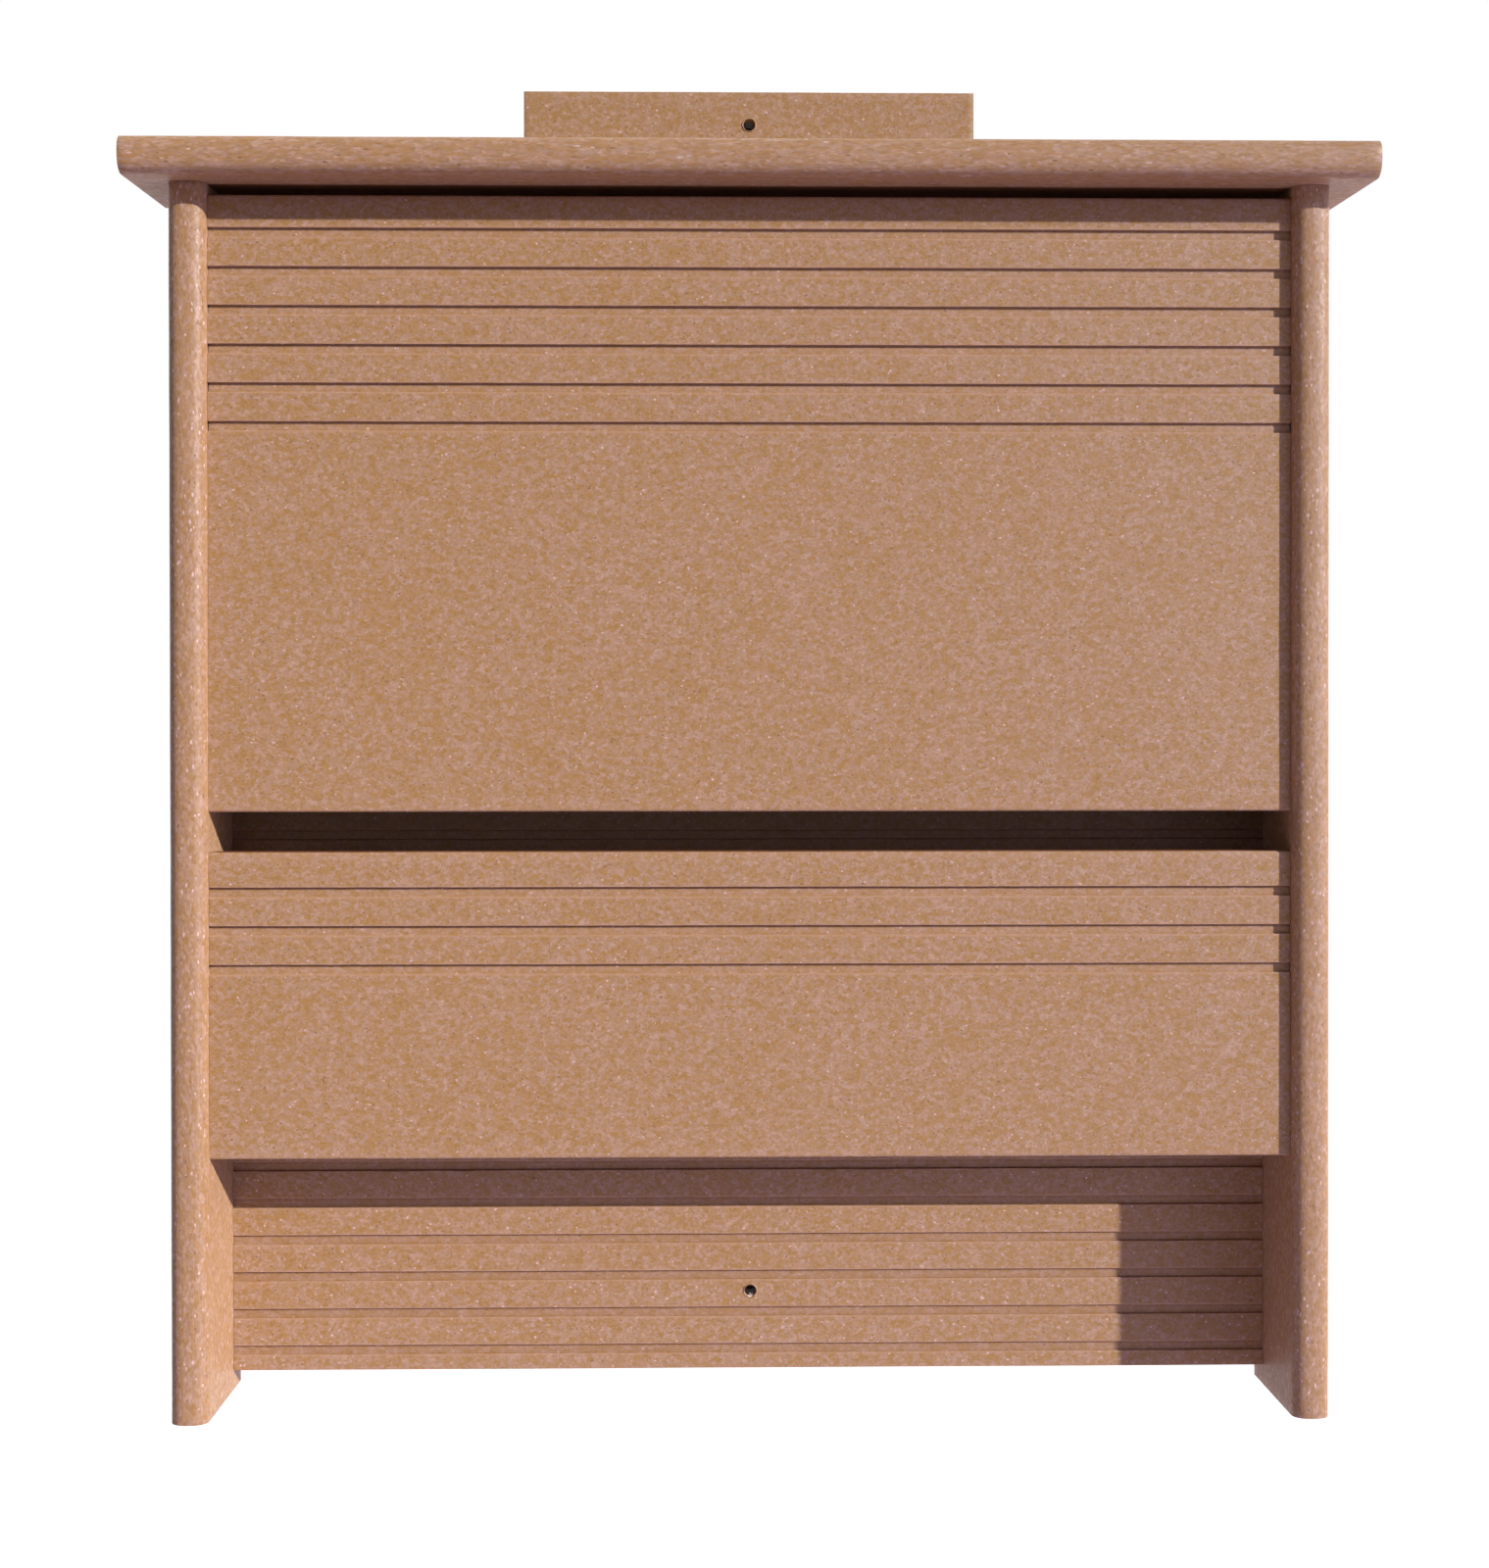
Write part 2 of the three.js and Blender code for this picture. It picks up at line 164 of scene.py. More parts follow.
@dataclass(frozen=True)
class FleckedPolyethylene:
    """High-density polyethylene lumber, extruded from reground household plastic.

    The regrind melts unevenly, so the eye sees soft ochre and rosy flecks a millimetre or two
    across in a tan body, a fine grit under them, and a matt skin that looks brightest where it is
    seen aslant.

    Attributes:
        name: What the material is and how its surface was made.
        grain: The axis that the flecks are drawn along.
        drawn: How many times longer than wide the flecks are.
        streak: How strongly lengthwise die lines show, from 0 to 1.
        saw: How strongly the marks of a blade show, from 0 to 1.
        chips_and_glints: The share of the grit that is pale chips, partly pale flecks and partly
            painted glints.
        specks: The share of it that is dark specks.
        grit: How far the grit makes the colour lighter and darker.
        ochre, tan, body, rose, pale: The flecks' colours, from the yellowest to the palest.
        dye_places: The tones, from 0 to 1, at which those colours lie.
        weights: What the flecks, the grit, the haze and the clouds each add to the tone.
        chip_and_glint, speck: The colours of chips, which are partly painted glints, and of specks.
        spot_edge: How far from its middle a spot fades out and is full, in shares of its width.
        die_line_glint: The lighter colour of die lines, a painted glint.
        wear_and_highlight_tint: The colour of worn edges and blade marks, and of the painted
            highlights on groove lips and the painted light on groove floors.
        shade_paint: The colour of painted shade in the grooves, under the roof, in the roost and in
            the holes.
        mark_tint: How far marks of full strength take their colour.
        edge_wear_and_highlight: How far a worn edge or a painted highlight takes that colour.
        fleck_mm: How wide the flecks are.
        chaff_mm: How wide the grit is. Its real grains are finer, and would not show.
        haze_mm, cloud_mm: How wide the haze over several flecks and the slow clouds are.
        swirl: How far the flecks are swirled out of round, in shares of their width.
        streak_mm, streak_length_mm: How wide and how long die lines are.
        dash_limits: The noise, from 0 to 1, from which a die line shows and shows fully.
        saw_pitch_mm: The distance between blade marks. A real blade's are finer, and would
            not show.
        ior: Polyethylene's index of refraction.
        gloss: How strongly its skin reflects, where 0.5 is as the index says.
        powdery: How evenly it throws light back, as scuffed plastic does.
        smooth, rough: Its roughness on the highest and the lowest grit.
        relief: How high the grit stands.
    """

    name: str
    grain: Grain
    drawn: float
    streak: float
    saw: float = 0.0
    chips_and_glints: float = 0.012
    specks: float = 0.02
    grit: float = 0.065
    ochre: str = "a77b3f"
    tan: str = "ad8251"
    body: str = "ae8760"
    rose: str = "b28a6d"
    pale: str = "bc977c"
    dye_places: tuple[float, ...] = (0.2, 0.38, 0.5, 0.62, 0.8)
    weights: tuple[float, ...] = (0.42, 0.4, 0.5, 0.16)
    chip_and_glint: str = "dcbcb2"
    speck: str = "8d6644"
    spot_edge: Point = (0.62, 0.4)
    die_line_glint: str = "d2a890"
    wear_and_highlight_tint: str = "c89c80"
    shade_paint: str = "5e2600"
    mark_tint: float = 0.42
    edge_wear_and_highlight: float = 0.4
    fleck_mm: float = 1.75
    chaff_mm: float = 0.85
    haze_mm: float = 3.0
    cloud_mm: float = 42.0
    swirl: float = 0.6
    streak_mm: float = 0.7
    streak_length_mm: float = 16.0
    dash_limits: Point = (0.54, 0.72)
    saw_pitch_mm: float = 1.3
    ior: float = 1.54
    gloss: float = 0.5
    powdery: float = 0.5
    smooth: float = 0.46
    rough: float = 0.62
    relief: float = 0.09 * MM

    def scale_along(self, length: float) -> tuple[float, float, float]:
        """Scales that turn metres to millimetres and draw the pattern out along the grain.

        Args:
            length: How many times longer than wide the pattern becomes.

        Returns:
            The scales along X, Y and Z.
        """
        scale = [1 / MM, 1 / MM, 1 / MM]
        scale[self.grain.value] /= length
        return (scale[0], scale[1], scale[2])

    def flecks(self, tree: Tree, place: Socket) -> tuple[Node, Node, Node]:
        """Lays the flecks and the grit.

        Args:
            tree: The material's node tree.
            place: Where each point lies on the board.

        Returns:
            The colour, the grit's cells, and three random numbers for each of its grains.
        """
        ruler = add_node(
            tree, "ShaderNodeMapping", {"Scale": self.scale_along(self.drawn)}, {"Vector": place}
        )
        coarse = {"Scale": 1 / self.fleck_mm, "Detail": 2.0}
        swirl = add_node(tree, "ShaderNodeTexNoise", coarse, {"Vector": ruler})
        swirled = add_node(
            tree,
            "ShaderNodeVectorMath",
            {"operation": "MULTIPLY_ADD", 1: (self.swirl * self.fleck_mm,) * 3},
            {0: swirl.outputs["Color"], 2: ruler},
        )
        flake, chaff = (
            add_node(tree, "ShaderNodeTexVoronoi", {"Scale": 1 / size}, {"Vector": swirled})
            for size in (self.fleck_mm, self.chaff_mm)
        )
        haze, cloud = (
            add_node(
                tree,
                "ShaderNodeTexNoise",
                {"Scale": 1 / size, "Detail": detail, "Roughness": 0.65},
                {"Vector": ruler},
            )
            for size, detail in ((self.haze_mm, 3.0), (self.cloud_mm, 4.0))
        )
        flake_lot, chaff_lot = (
            add_node(tree, "ShaderNodeSeparateColor", links={0: cells.outputs["Color"]})
            for cells in (flake, chaff)
        )
        # The tone is a half on average, and each layer moves it up and down by its weight.
        still = 0.5 * (1 - sum(self.weights))
        tone = add_node(tree, "ShaderNodeMath", {"operation": "ADD", 0: still, 1: 0.0})
        for layer, weight in zip((flake_lot, chaff_lot.outputs[1], haze, cloud), self.weights):
            weighed = {"operation": "MULTIPLY_ADD", 1: weight}
            tone = add_node(tree, "ShaderNodeMath", weighed, {0: layer, 2: tone})
        dyes = (self.ochre, self.tan, self.body, self.rose, self.pale)
        stops = list(zip(self.dye_places, dyes))
        dyed = add_node(tree, "ShaderNodeValToRGB", links={0: tone}, stops=stops)
        limits = {"To Min": 1 - self.grit, "To Max": 1 + self.grit}
        shade = add_node(tree, "ShaderNodeMapRange", limits, {"Value": chaff_lot})
        gritty = add_node(
            tree, "ShaderNodeVectorMath", {"operation": "SCALE"}, {0: dyed, "Scale": shade}
        )
        return gritty, chaff, chaff_lot

    def spots(self, tree: Tree, cells: Node, lots: Node) -> list[tuple[Node, str]]:
        """Picks the few grains of grit that are chips, partly painted glints, and those that are
        specks.

        Args:
            tree: The material's node tree.
            cells: The grit's cells, whose distance from their middles keeps each spot round.
            lots: Three random numbers for each grain.

        Returns:
            Where chips and specks lie, from 0 to 1, each with its colour.
        """
        edge = {"From Min": self.spot_edge[0], "From Max": self.spot_edge[1]}
        spot = add_node(tree, "ShaderNodeMapRange", edge, {"Value": cells.outputs["Distance"]})
        blur = 0.01
        found = []
        for lot, share, dye in ((1, self.chips_and_glints, self.chip_and_glint), (2, self.specks, self.speck)):
            above = {"From Min": 1 - share, "From Max": 1 - share + blur}
            picked = add_node(tree, "ShaderNodeMapRange", above, {"Value": lots.outputs[lot]})
            both = {0: picked, 1: spot}
            found.append((add_node(tree, "ShaderNodeMath", {"operation": "MULTIPLY"}, both), dye))
        return found

    def die_lines(self, tree: Tree, place: Socket) -> Node:
        """Draws the thin lengthwise dashes that the die leaves, whose lighter colour is a painted
        glint.

        Args:
            tree: The material's node tree.
            place: Where each point lies on the board.

        Returns:
            A value from 0 to 1.
        """
        stretch = {"Scale": self.scale_along(self.streak_length_mm / self.streak_mm)}
        ruler = add_node(tree, "ShaderNodeMapping", stretch, {"Vector": place})
        width = {"Scale": 1 / (2 * self.streak_mm), "Detail": 2.0}
        dashes = add_node(tree, "ShaderNodeTexNoise", width, {"Vector": ruler})
        start, full = self.dash_limits
        limits = {"interpolation_type": "SMOOTHSTEP", "From Min": start, "From Max": full}
        return add_node(tree, "ShaderNodeMapRange", limits, {"Value": dashes})

    def blade_marks(self, tree: Tree, place: Socket) -> Socket:
        """Draws the shallow arcs that a saw or router leaves.

        Args:
            tree: The material's node tree.
            place: Where each point lies on the board.

        Returns:
            A value from 0 to 1.
        """
        # Diagonal bands turn half as fast as others, so their scale is doubled.
        bands = {
            "wave_type": "BANDS",
            "bands_direction": "DIAGONAL",
            "Scale": 2 * wave_scale(self.saw_pitch_mm * MM),
            "Distortion": 2.5,
            "Detail": 2.0,
            "Detail Scale": 1.2,
        }
        return add_node(tree, "ShaderNodeTexWave", bands, {"Vector": place}).outputs["Fac"]

    def build(self) -> Material:
        """Lays the flecks, and over them coats of spots and marks, some of them painted glints, then
        wear with painted highlights and painted light, and painted shade.

        Returns:
            The material.
        """
        material = new_material(self.name)
        tree = material.node_tree
        place = add_node(tree, "ShaderNodeTexCoord").outputs["Object"]
        colour, chaff, lots = self.flecks(tree, place)
        coats = self.spots(tree, chaff, lots)
        # The first of a grain's random numbers is how high it stands.
        height = lots
        for strength, marks, tint in (
            (self.streak, self.die_lines, self.die_line_glint),
            (self.saw, self.blade_marks, self.wear_and_highlight_tint),
        ):
            if strength == 0:
                continue
            pattern = marks(tree, place)
            tinted = {"operation": "MULTIPLY", 1: self.mark_tint * strength}
            coats.append((add_node(tree, "ShaderNodeMath", tinted, {0: pattern}), tint))
            raised = {"operation": "MULTIPLY_ADD", 1: strength}
            height = add_node(tree, "ShaderNodeMath", raised, {0: pattern, 2: height})
        # The first attribute is real edge wear with painted highlights on groove lips and painted
        # light on groove floors; the second is painted shade.
        edge, corner = (
            add_node(tree, "ShaderNodeAttribute", {"attribute_name": name}).outputs["Fac"]
            for name in (WEAR_AND_HIGHLIGHT, PAINTED_SHADE)
        )
        wear_and_light = {"operation": "MULTIPLY", 1: self.edge_wear_and_highlight}
        coats.append((add_node(tree, "ShaderNodeMath", wear_and_light, {0: edge}), self.wear_and_highlight_tint))
        coats.append((corner, self.shade_paint))
        for amount, tint in coats:
            coat = {"data_type": "RGBA", MIX_B: linear_colour(tint)}
            mixed = add_node(tree, "ShaderNodeMix", coat, {MIX_FACTOR: amount, MIX_A: colour})
            colour = mixed.outputs[MIX_RESULT]
        limits = {"To Min": self.rough, "To Max": self.smooth}
        sheen = add_node(tree, "ShaderNodeMapRange", limits, {"Value": height})
        stands = {"Strength": 0.6, "Distance": self.relief}
        bump = add_node(tree, "ShaderNodeBump", stands, {"Height": height})
        shader = add_node(
            tree,
            "ShaderNodeBsdfPrincipled",
            {"IOR": self.ior, "Specular IOR Level": self.gloss, "Diffuse Roughness": self.powdery},
            {"Base Color": colour, "Roughness": sheen, "Normal": bump},
        )
        add_node(tree, "ShaderNodeOutputMaterial", links={"Surface": shader})
        return material


@dataclass(frozen=True)
class ColdHeadedSteel:
    """Stainless steel wire, cold headed and thread rolled.

    The eye sees a pale grey metal with a satin sheen and faint rings turned on the head.

    Attributes:
        name: What the material is and how its surface was made.
        steel: The clean metal's colour.
        dull: Its colour where a film lies on it.
        film_mm: How wide the patches of film are.
        ring_mm: The distance between the rings. Turned ones are finer, and would not show.
        smooth, rough: The roughness where the film is thin and where it is thick.
        relief: How high the rings stand.
    """

    name: str
    steel: str = "bcbdbd"
    dull: str = "8f9090"
    film_mm: float = 1.5
    ring_mm: float = 0.35
    smooth: float = 0.24
    rough: float = 0.42
    relief: float = 0.015 * MM

    def build(self) -> Material:
        """Lays the film and turns the rings.

        Returns:
            The material.
        """
        material = new_material(self.name)
        tree = material.node_tree
        place = {"Vector": add_node(tree, "ShaderNodeTexCoord").outputs["Object"]}
        turned = {
            "wave_type": "RINGS",
            "rings_direction": "Z",
            "Scale": wave_scale(self.ring_mm * MM),
            "Distortion": 1.2,
            "Detail": 3.0,
        }
        rings = add_node(tree, "ShaderNodeTexWave", turned, place)
        patches = {"Scale": 1 / (self.film_mm * MM), "Detail": 4.0}
        film = add_node(tree, "ShaderNodeTexNoise", patches, place)
        stops = [(0.3, self.dull), (0.62, self.steel)]
        colour = add_node(tree, "ShaderNodeValToRGB", links={0: film}, stops=stops)
        limits = {"From Min": 0.3, "From Max": 0.7, "To Min": self.smooth, "To Max": self.rough}
        sheen = add_node(tree, "ShaderNodeMapRange", limits, {"Value": film})
        stands = {"Strength": 0.5, "Distance": self.relief}
        bump = add_node(tree, "ShaderNodeBump", stands, {"Height": rings.outputs["Fac"]})
        shader = add_node(
            tree,
            "ShaderNodeBsdfPrincipled",
            {"Metallic": 1.0},
            {"Base Color": colour, "Roughness": sheen, "Normal": bump},
        )
        add_node(tree, "ShaderNodeOutputMaterial", links={"Surface": shader})
        return material


@dataclass(frozen=True)
class Unevenness:
    """The slow rise and fall of an extruded face, left by uneven cooling.

    Attributes:
        depth: How far the face sinks at most.
        longest: The longest wave along the board.
        seed: The lot from which the waves are drawn.
        waves: How many waves add up.
        shortening: How much faster each wave repeats than the one before it.
        weakening: How much weaker it is.
        slant: How far a wave may lean as it runs round the board.
    """

    depth: float
    longest: float
    seed: int
    waves: int = 6
    shortening: float = 0.7
    weakening: float = 0.5
    slant: float = 0.9

    def sink(self, along: np.ndarray, around: np.ndarray) -> np.ndarray:
        """How far each point sinks.

        Args:
            along: Places along the board.
            around: Places around its cross-section.

        Returns:
            Depths from 0 to the greatest depth, for each place along and each place around.
        """
        lot = np.random.default_rng(self.seed)
        total = np.zeros((len(along), len(around)))
        for wave in range(self.waves):
            length = self.longest / (1 + self.shortening * wave)
            turn = lot.uniform(0, 2 * math.pi)
            lean = lot.uniform(-self.slant, self.slant)
            phase = 2 * math.pi * (along[:, None] + lean * around[None, :]) / length + turn
            total += np.sin(phase) / (1 + self.weakening * wave)
        return self.depth * (0.5 + 0.5 * total / np.abs(total).max())


@dataclass(frozen=True)
class Rung:
    """Two facing points of a board's cross-section, joined across its thickness.

    Attributes:
        face: Across the thickness and along the section, on the face that shows most.
        back: The same on the other face.
        wear_and_highlight: How worn the face's point is, together with the painted highlight on a
            groove's lips and the painted light on its floor, from 0 to 1.
        painted_shade: How much painted shade lies on it, from 0 to 1.
        painted_shade_behind: How much painted shade lies on the back's point.
        cut: True where the face from here to the next rung was sawn or routed.
    """

    face: Point
    back: Point = (0.0, 0.0)
    wear_and_highlight: float = 0.0
    painted_shade: float = 0.0
    painted_shade_behind: float = 0.0
    cut: bool = False

    @property
    def up(self) -> float:
        """How far along the section it lies, which in an upright sheet is its height."""
        return self.face[1]


def arc(centre: Point, radius: float, start: float, end: float, steps: int) -> list[Point]:
    """Points on a circular arc.

    Args:
        centre: The arc's centre.
        radius: Its radius.
        start: Its first angle in degrees.
        end: Its last angle in degrees.
        steps: How many steps it takes.

    Returns:
        The points as pairs, both ends included.
    """
    angles = np.radians(np.linspace(start, end, steps + 1))
    return [(centre[0] + radius * math.cos(a), centre[1] + radius * math.sin(a)) for a in angles]


@dataclass(frozen=True)
class RoundedEdge:
    """A board's rounded long edge: a slightly crowned face between two corner arcs.

    Attributes:
        thickness: The board's thickness.
        corner: The corner arcs' radius.
        crown: The crowned face's radius.
        corner_steps: How many steps a corner arc takes.
        crown_steps: How many steps half of the crowned face takes.
    """

    thickness: float
    corner: float = 6.1 * MM
    crown: float = 16 * MM
    corner_steps: int = 10
    crown_steps: int = 3

    @property
    def shoulder(self) -> float:
        """How far the corner arcs' middles lie from the board's middle."""
        return self.thickness / 2 - self.corner

    @property
    def turn(self) -> float:
        """The angle in radians at which the crowned face runs into a corner arc."""
        return math.asin(self.shoulder / (self.crown - self.corner))

    @property
    def depth(self) -> float:
        """How far behind the tip the flat flanks start."""
        return self.crown - (self.crown - self.corner) * math.cos(self.turn)

    def half(self) -> list[Point]:
        """Half of the edge's section.

        Returns:
            Depths behind the tip and places across, from the tip to one flank.
        """
        turn = 180 - math.degrees(self.turn)
        crowned = arc((self.crown, 0), self.crown, 180, turn, self.crown_steps)
        corner = arc((self.depth, self.shoulder), self.corner, turn, 90, self.corner_steps)
        return [*crowned, *corner[1:]]


def evenly(low: float, high: float, spacing: float) -> list[float]:
    """Places between two limits, both left out, no further apart than a spacing."""
    count = max(1, math.ceil(abs(high - low) / spacing))
    return [low + (high - low) * step / count for step in range(1, count)]


def outward(ring: np.ndarray) -> np.ndarray:
    """The outward directions at the points of a closed ring, whichever way round it runs.

    Args:
        ring: The points as rows of two coordinates.

    Returns:
        A direction of length 1 for each point.
    """
    following = np.roll(ring, -1, axis=0)
    ahead = following - ring
    ahead /= np.maximum(np.linalg.norm(ahead, axis=1, keepdims=True), 1e-9)
    tangent = ahead + np.roll(ahead, 1, axis=0)
    tangent /= np.maximum(np.linalg.norm(tangent, axis=1, keepdims=True), 1e-9)
    normal = np.stack([tangent[:, 1], -tangent[:, 0]], axis=1)
    area = np.sum(ring[:, 0] * following[:, 1] - following[:, 0] * ring[:, 1])
    return normal if area > 0 else -normal


def finish_mesh(piece: Piece) -> None:
    """Shades a piece smooth, with creases where its faces meet at more than an angle."""
    piece.data.shade_smooth()
    piece.data.set_sharp_from_angle(angle=math.radians(CREASE_DEGREES))


def link(name: str, data: bpy.types.ID) -> Piece:
    """Makes an object and puts it in the scene.

    Args:
        name: The object's name.
        data: Its mesh, lamp or camera.

    Returns:
        The object.
    """
    piece = bpy.data.objects.new(name, data)
    bpy.context.scene.collection.objects.link(piece)
    return piece


def combine(piece: Piece, tools: list[Piece], work: Solid) -> None:
    """Cuts tools out of a piece, or welds them to it, and removes the tools.

    Args:
        piece: The piece that is changed.
        tools: Closed solids, which mustn't overlap each other.
        work: Whether they are cut out or welded on.
    """
    if not tools:
        return
    joined = bmesh.new()
    for tool in tools:
        tool.data.transform(tool.matrix_world)
        joined.from_mesh(tool.data)
        bpy.data.objects.remove(tool)
    mesh = bpy.data.meshes.new("tools")
    joined.to_mesh(mesh)
    joined.free()
    for material in piece.data.materials:
        mesh.materials.append(material)
    mesh.polygons.foreach_set("material_index", [SAWN] * len(mesh.polygons))
    tool = link("tools", mesh)
    modifier = piece.modifiers.new("work", "BOOLEAN")
    modifier.operation = work.value
    modifier.solver = "MANIFOLD"
    modifier.object = tool
    bpy.context.view_layer.update()
    graph = bpy.context.evaluated_depsgraph_get()
    worked = bpy.data.meshes.new_from_object(piece.evaluated_get(graph))
    piece.modifiers.clear()
    old = piece.data
    piece.data = worked
    worked.name = old.name
    bpy.data.meshes.remove(old)
    bpy.data.objects.remove(tool)


def ringed_mesh(name: str, rings: list[np.ndarray], looped: bool = False) -> Mesh:
    """Joins rings of equally many points into a closed mesh.

    Args:
        name: The mesh's name.
        rings: The rings in order, each as rows of X, Y and Z.
        looped: True to join the last ring to the first, and False to close both with a fan.

    Returns:
        The mesh.
    """
    count = len(rings[0])
    points = np.concatenate(rings)
    total = len(points)
    last = total - count
    besides = [(step, (step + 1) % count) for step in range(count)]
    faces: list[tuple[int, ...]] = []
    for start in range(0, total if looped else last, count):
        above = (start + count) % total
        faces += [(start + at, start + to, above + to, above + at) for at, to in besides]
    if not looped:
        points = np.concatenate([points, [rings[0].mean(axis=0)], [rings[-1].mean(axis=0)]])
        for at, to in besides:
            faces += [(to, at, total), (last + at, last + to, total + 1)]
    mesh = bpy.data.meshes.new(name)
    mesh.from_pydata(points.tolist(), [], faces)
    work = bmesh.new()
    work.from_mesh(mesh)
    bmesh.ops.recalc_face_normals(work, faces=work.faces)
    work.to_mesh(mesh)
    work.free()
    return mesh


def circle(radius: float | np.ndarray, height: float, sides: int) -> np.ndarray:
    """A level ring of points about the Z axis.

    Args:
        radius: The ring's radius, or one for each point.
        height: Its height.
        sides: How many points it has.

    Returns:
        The points as rows of X, Y and Z.
    """
    angles = np.linspace(0, 2 * math.pi, sides, endpoint=False)
    around = np.stack([np.cos(angles), np.sin(angles), np.full(sides, height)], axis=1)
    around[:, :2] *= np.broadcast_to(radius, sides)[:, None]
    return around


@dataclass
class Screw:
    """A countersunk stainless screw with a square recess, its head's top at its own origin.

    It points down its own Z axis.

    Attributes:
        length: Its whole length.
        head_radius: The head's radius.
        head_rim: The height of the head's upright rim.
        rim_ease: How far the edges of the rim and of the recess are eased.
        neck_radius: The radius under the head.
        core_radius: The thread's radius at its root.
        crest_radius: Its radius at its crest.
        tip_length: How long the pointed tip is.
        plain_length: How much of the shank under the head has no thread.
        thread_pitch: The thread's pitch.
        flank_share: How wide half a thread is at its root, in shares of the pitch.
        drive_width: The width of the square recess.
        drive_depth: Its depth.
        hole_radius: The radius of the hole that the screw goes into.
        hole_margin: The room round its head and under its tip.
        hole_cover: How far the solid that cuts the hole stands above the head.
        sides: How many points each ring has.
        steps_per_turn: How many rings each turn of the thread has.
    """

    length: float = 32 * MM
    head_radius: float = 4.1 * MM
    head_rim: float = 0.4 * MM
    rim_ease: float = 0.12 * MM
    neck_radius: float = 1.75 * MM
    core_radius: float = 1.4 * MM
    crest_radius: float = 2.05 * MM
    tip_length: float = 5 * MM
    plain_length: float = 1.6 * MM
    thread_pitch: float = 1.7 * MM
    flank_share: float = 0.3
    drive_width: float = 2.6 * MM
    drive_depth: float = 2 * MM
    hole_radius: float = 2.3 * MM
    hole_margin: float = 0.12 * MM
    hole_cover: float = 4 * MM
    sides: int = 24
    steps_per_turn: int = 5

    @property
    def neck(self) -> float:
        """How far the neck lies under the head's top."""
        return self.head_rim + self.head_radius - self.neck_radius

    def stack(self, profile: list[Point]) -> list[np.ndarray]:
        """Round rings from pairs of a radius and a height."""
        return [circle(radius, height, self.sides) for radius, height in profile]

    def recess(self) -> list[np.ndarray]:
        """The square recess.

        Returns:
            Its rings, from its floor up.
        """
        rings = []
        for width, depth in (
            (0.7 * self.drive_width, self.drive_depth),
            (0.9 * self.drive_width, self.drive_depth * 0.8),
            (self.drive_width, self.rim_ease),
            (self.drive_width + 2 * self.rim_ease, 0),
        ):
            ring = circle(1.0, -depth, self.sides)
            reach = np.maximum(np.abs(ring[:, 0]), np.abs(ring[:, 1]))
            ring[:, :2] *= width / 2 / reach[:, None]
            rings.append(ring)
        return rings

    def head(self) -> list[np.ndarray]:
        """The countersunk head.

        Returns:
            Its rings, from its top to the neck.
        """
        wide = self.head_radius
        return self.stack(
            [
                (0.6 * wide, 0),
                (wide - self.rim_ease, -0.3 * self.rim_ease),
                (wide, -self.rim_ease),
                (wide, -self.head_rim),
                ((wide + self.neck_radius) / 2, -self.neck / 2),
                (self.neck_radius, -self.neck),
            ]
        )

    def shank(self) -> list[np.ndarray]:
        """The rolled thread.

        Returns:
            Its rings, down to the tip.
        """
        start = self.neck + self.plain_length
        rings = []
        turns = np.linspace(0, 2 * math.pi, self.sides, endpoint=False) / (2 * math.pi)
        for depth in np.arange(start, self.length, self.thread_pitch / self.steps_per_turn):
            taper = min(1.0, (self.length - depth) / self.tip_length)
            rise = min(1.0, (depth - start) / self.thread_pitch)
            turn = (depth / self.thread_pitch + turns) % 1
            crest = np.maximum(0, 1 - np.abs(turn - 0.5) / self.flank_share)
            radius = taper * (self.core_radius + rise * (self.crest_radius - self.core_radius) * crest)
            rings.append(circle(radius, -depth, self.sides))
        return rings

    def mesh(self) -> Mesh:
        """The whole screw's mesh."""
        return ringed_mesh("screw", [*self.recess(), *self.head(), *self.shank()])

    def hole(self, seat: Matrix) -> Piece:
        """A solid of the countersunk hole that takes the screw.

        Args:
            seat: Where the screw sits.

        Returns:
            The solid, to be cut away.
        """
        wide = self.head_radius + self.hole_margin
        sink = self.head_rim + wide - self.hole_radius
        profile = [
            (wide, self.hole_cover),
            (wide, -self.head_rim),
            (self.hole_radius, -sink),
            (self.hole_radius, self.tip_length - self.length),
            (0.2 * self.hole_radius, -self.length - self.hole_margin),
        ]
        solid = link("hole", ringed_mesh("hole", self.stack(profile)))
        solid.matrix_world = seat
        return solid


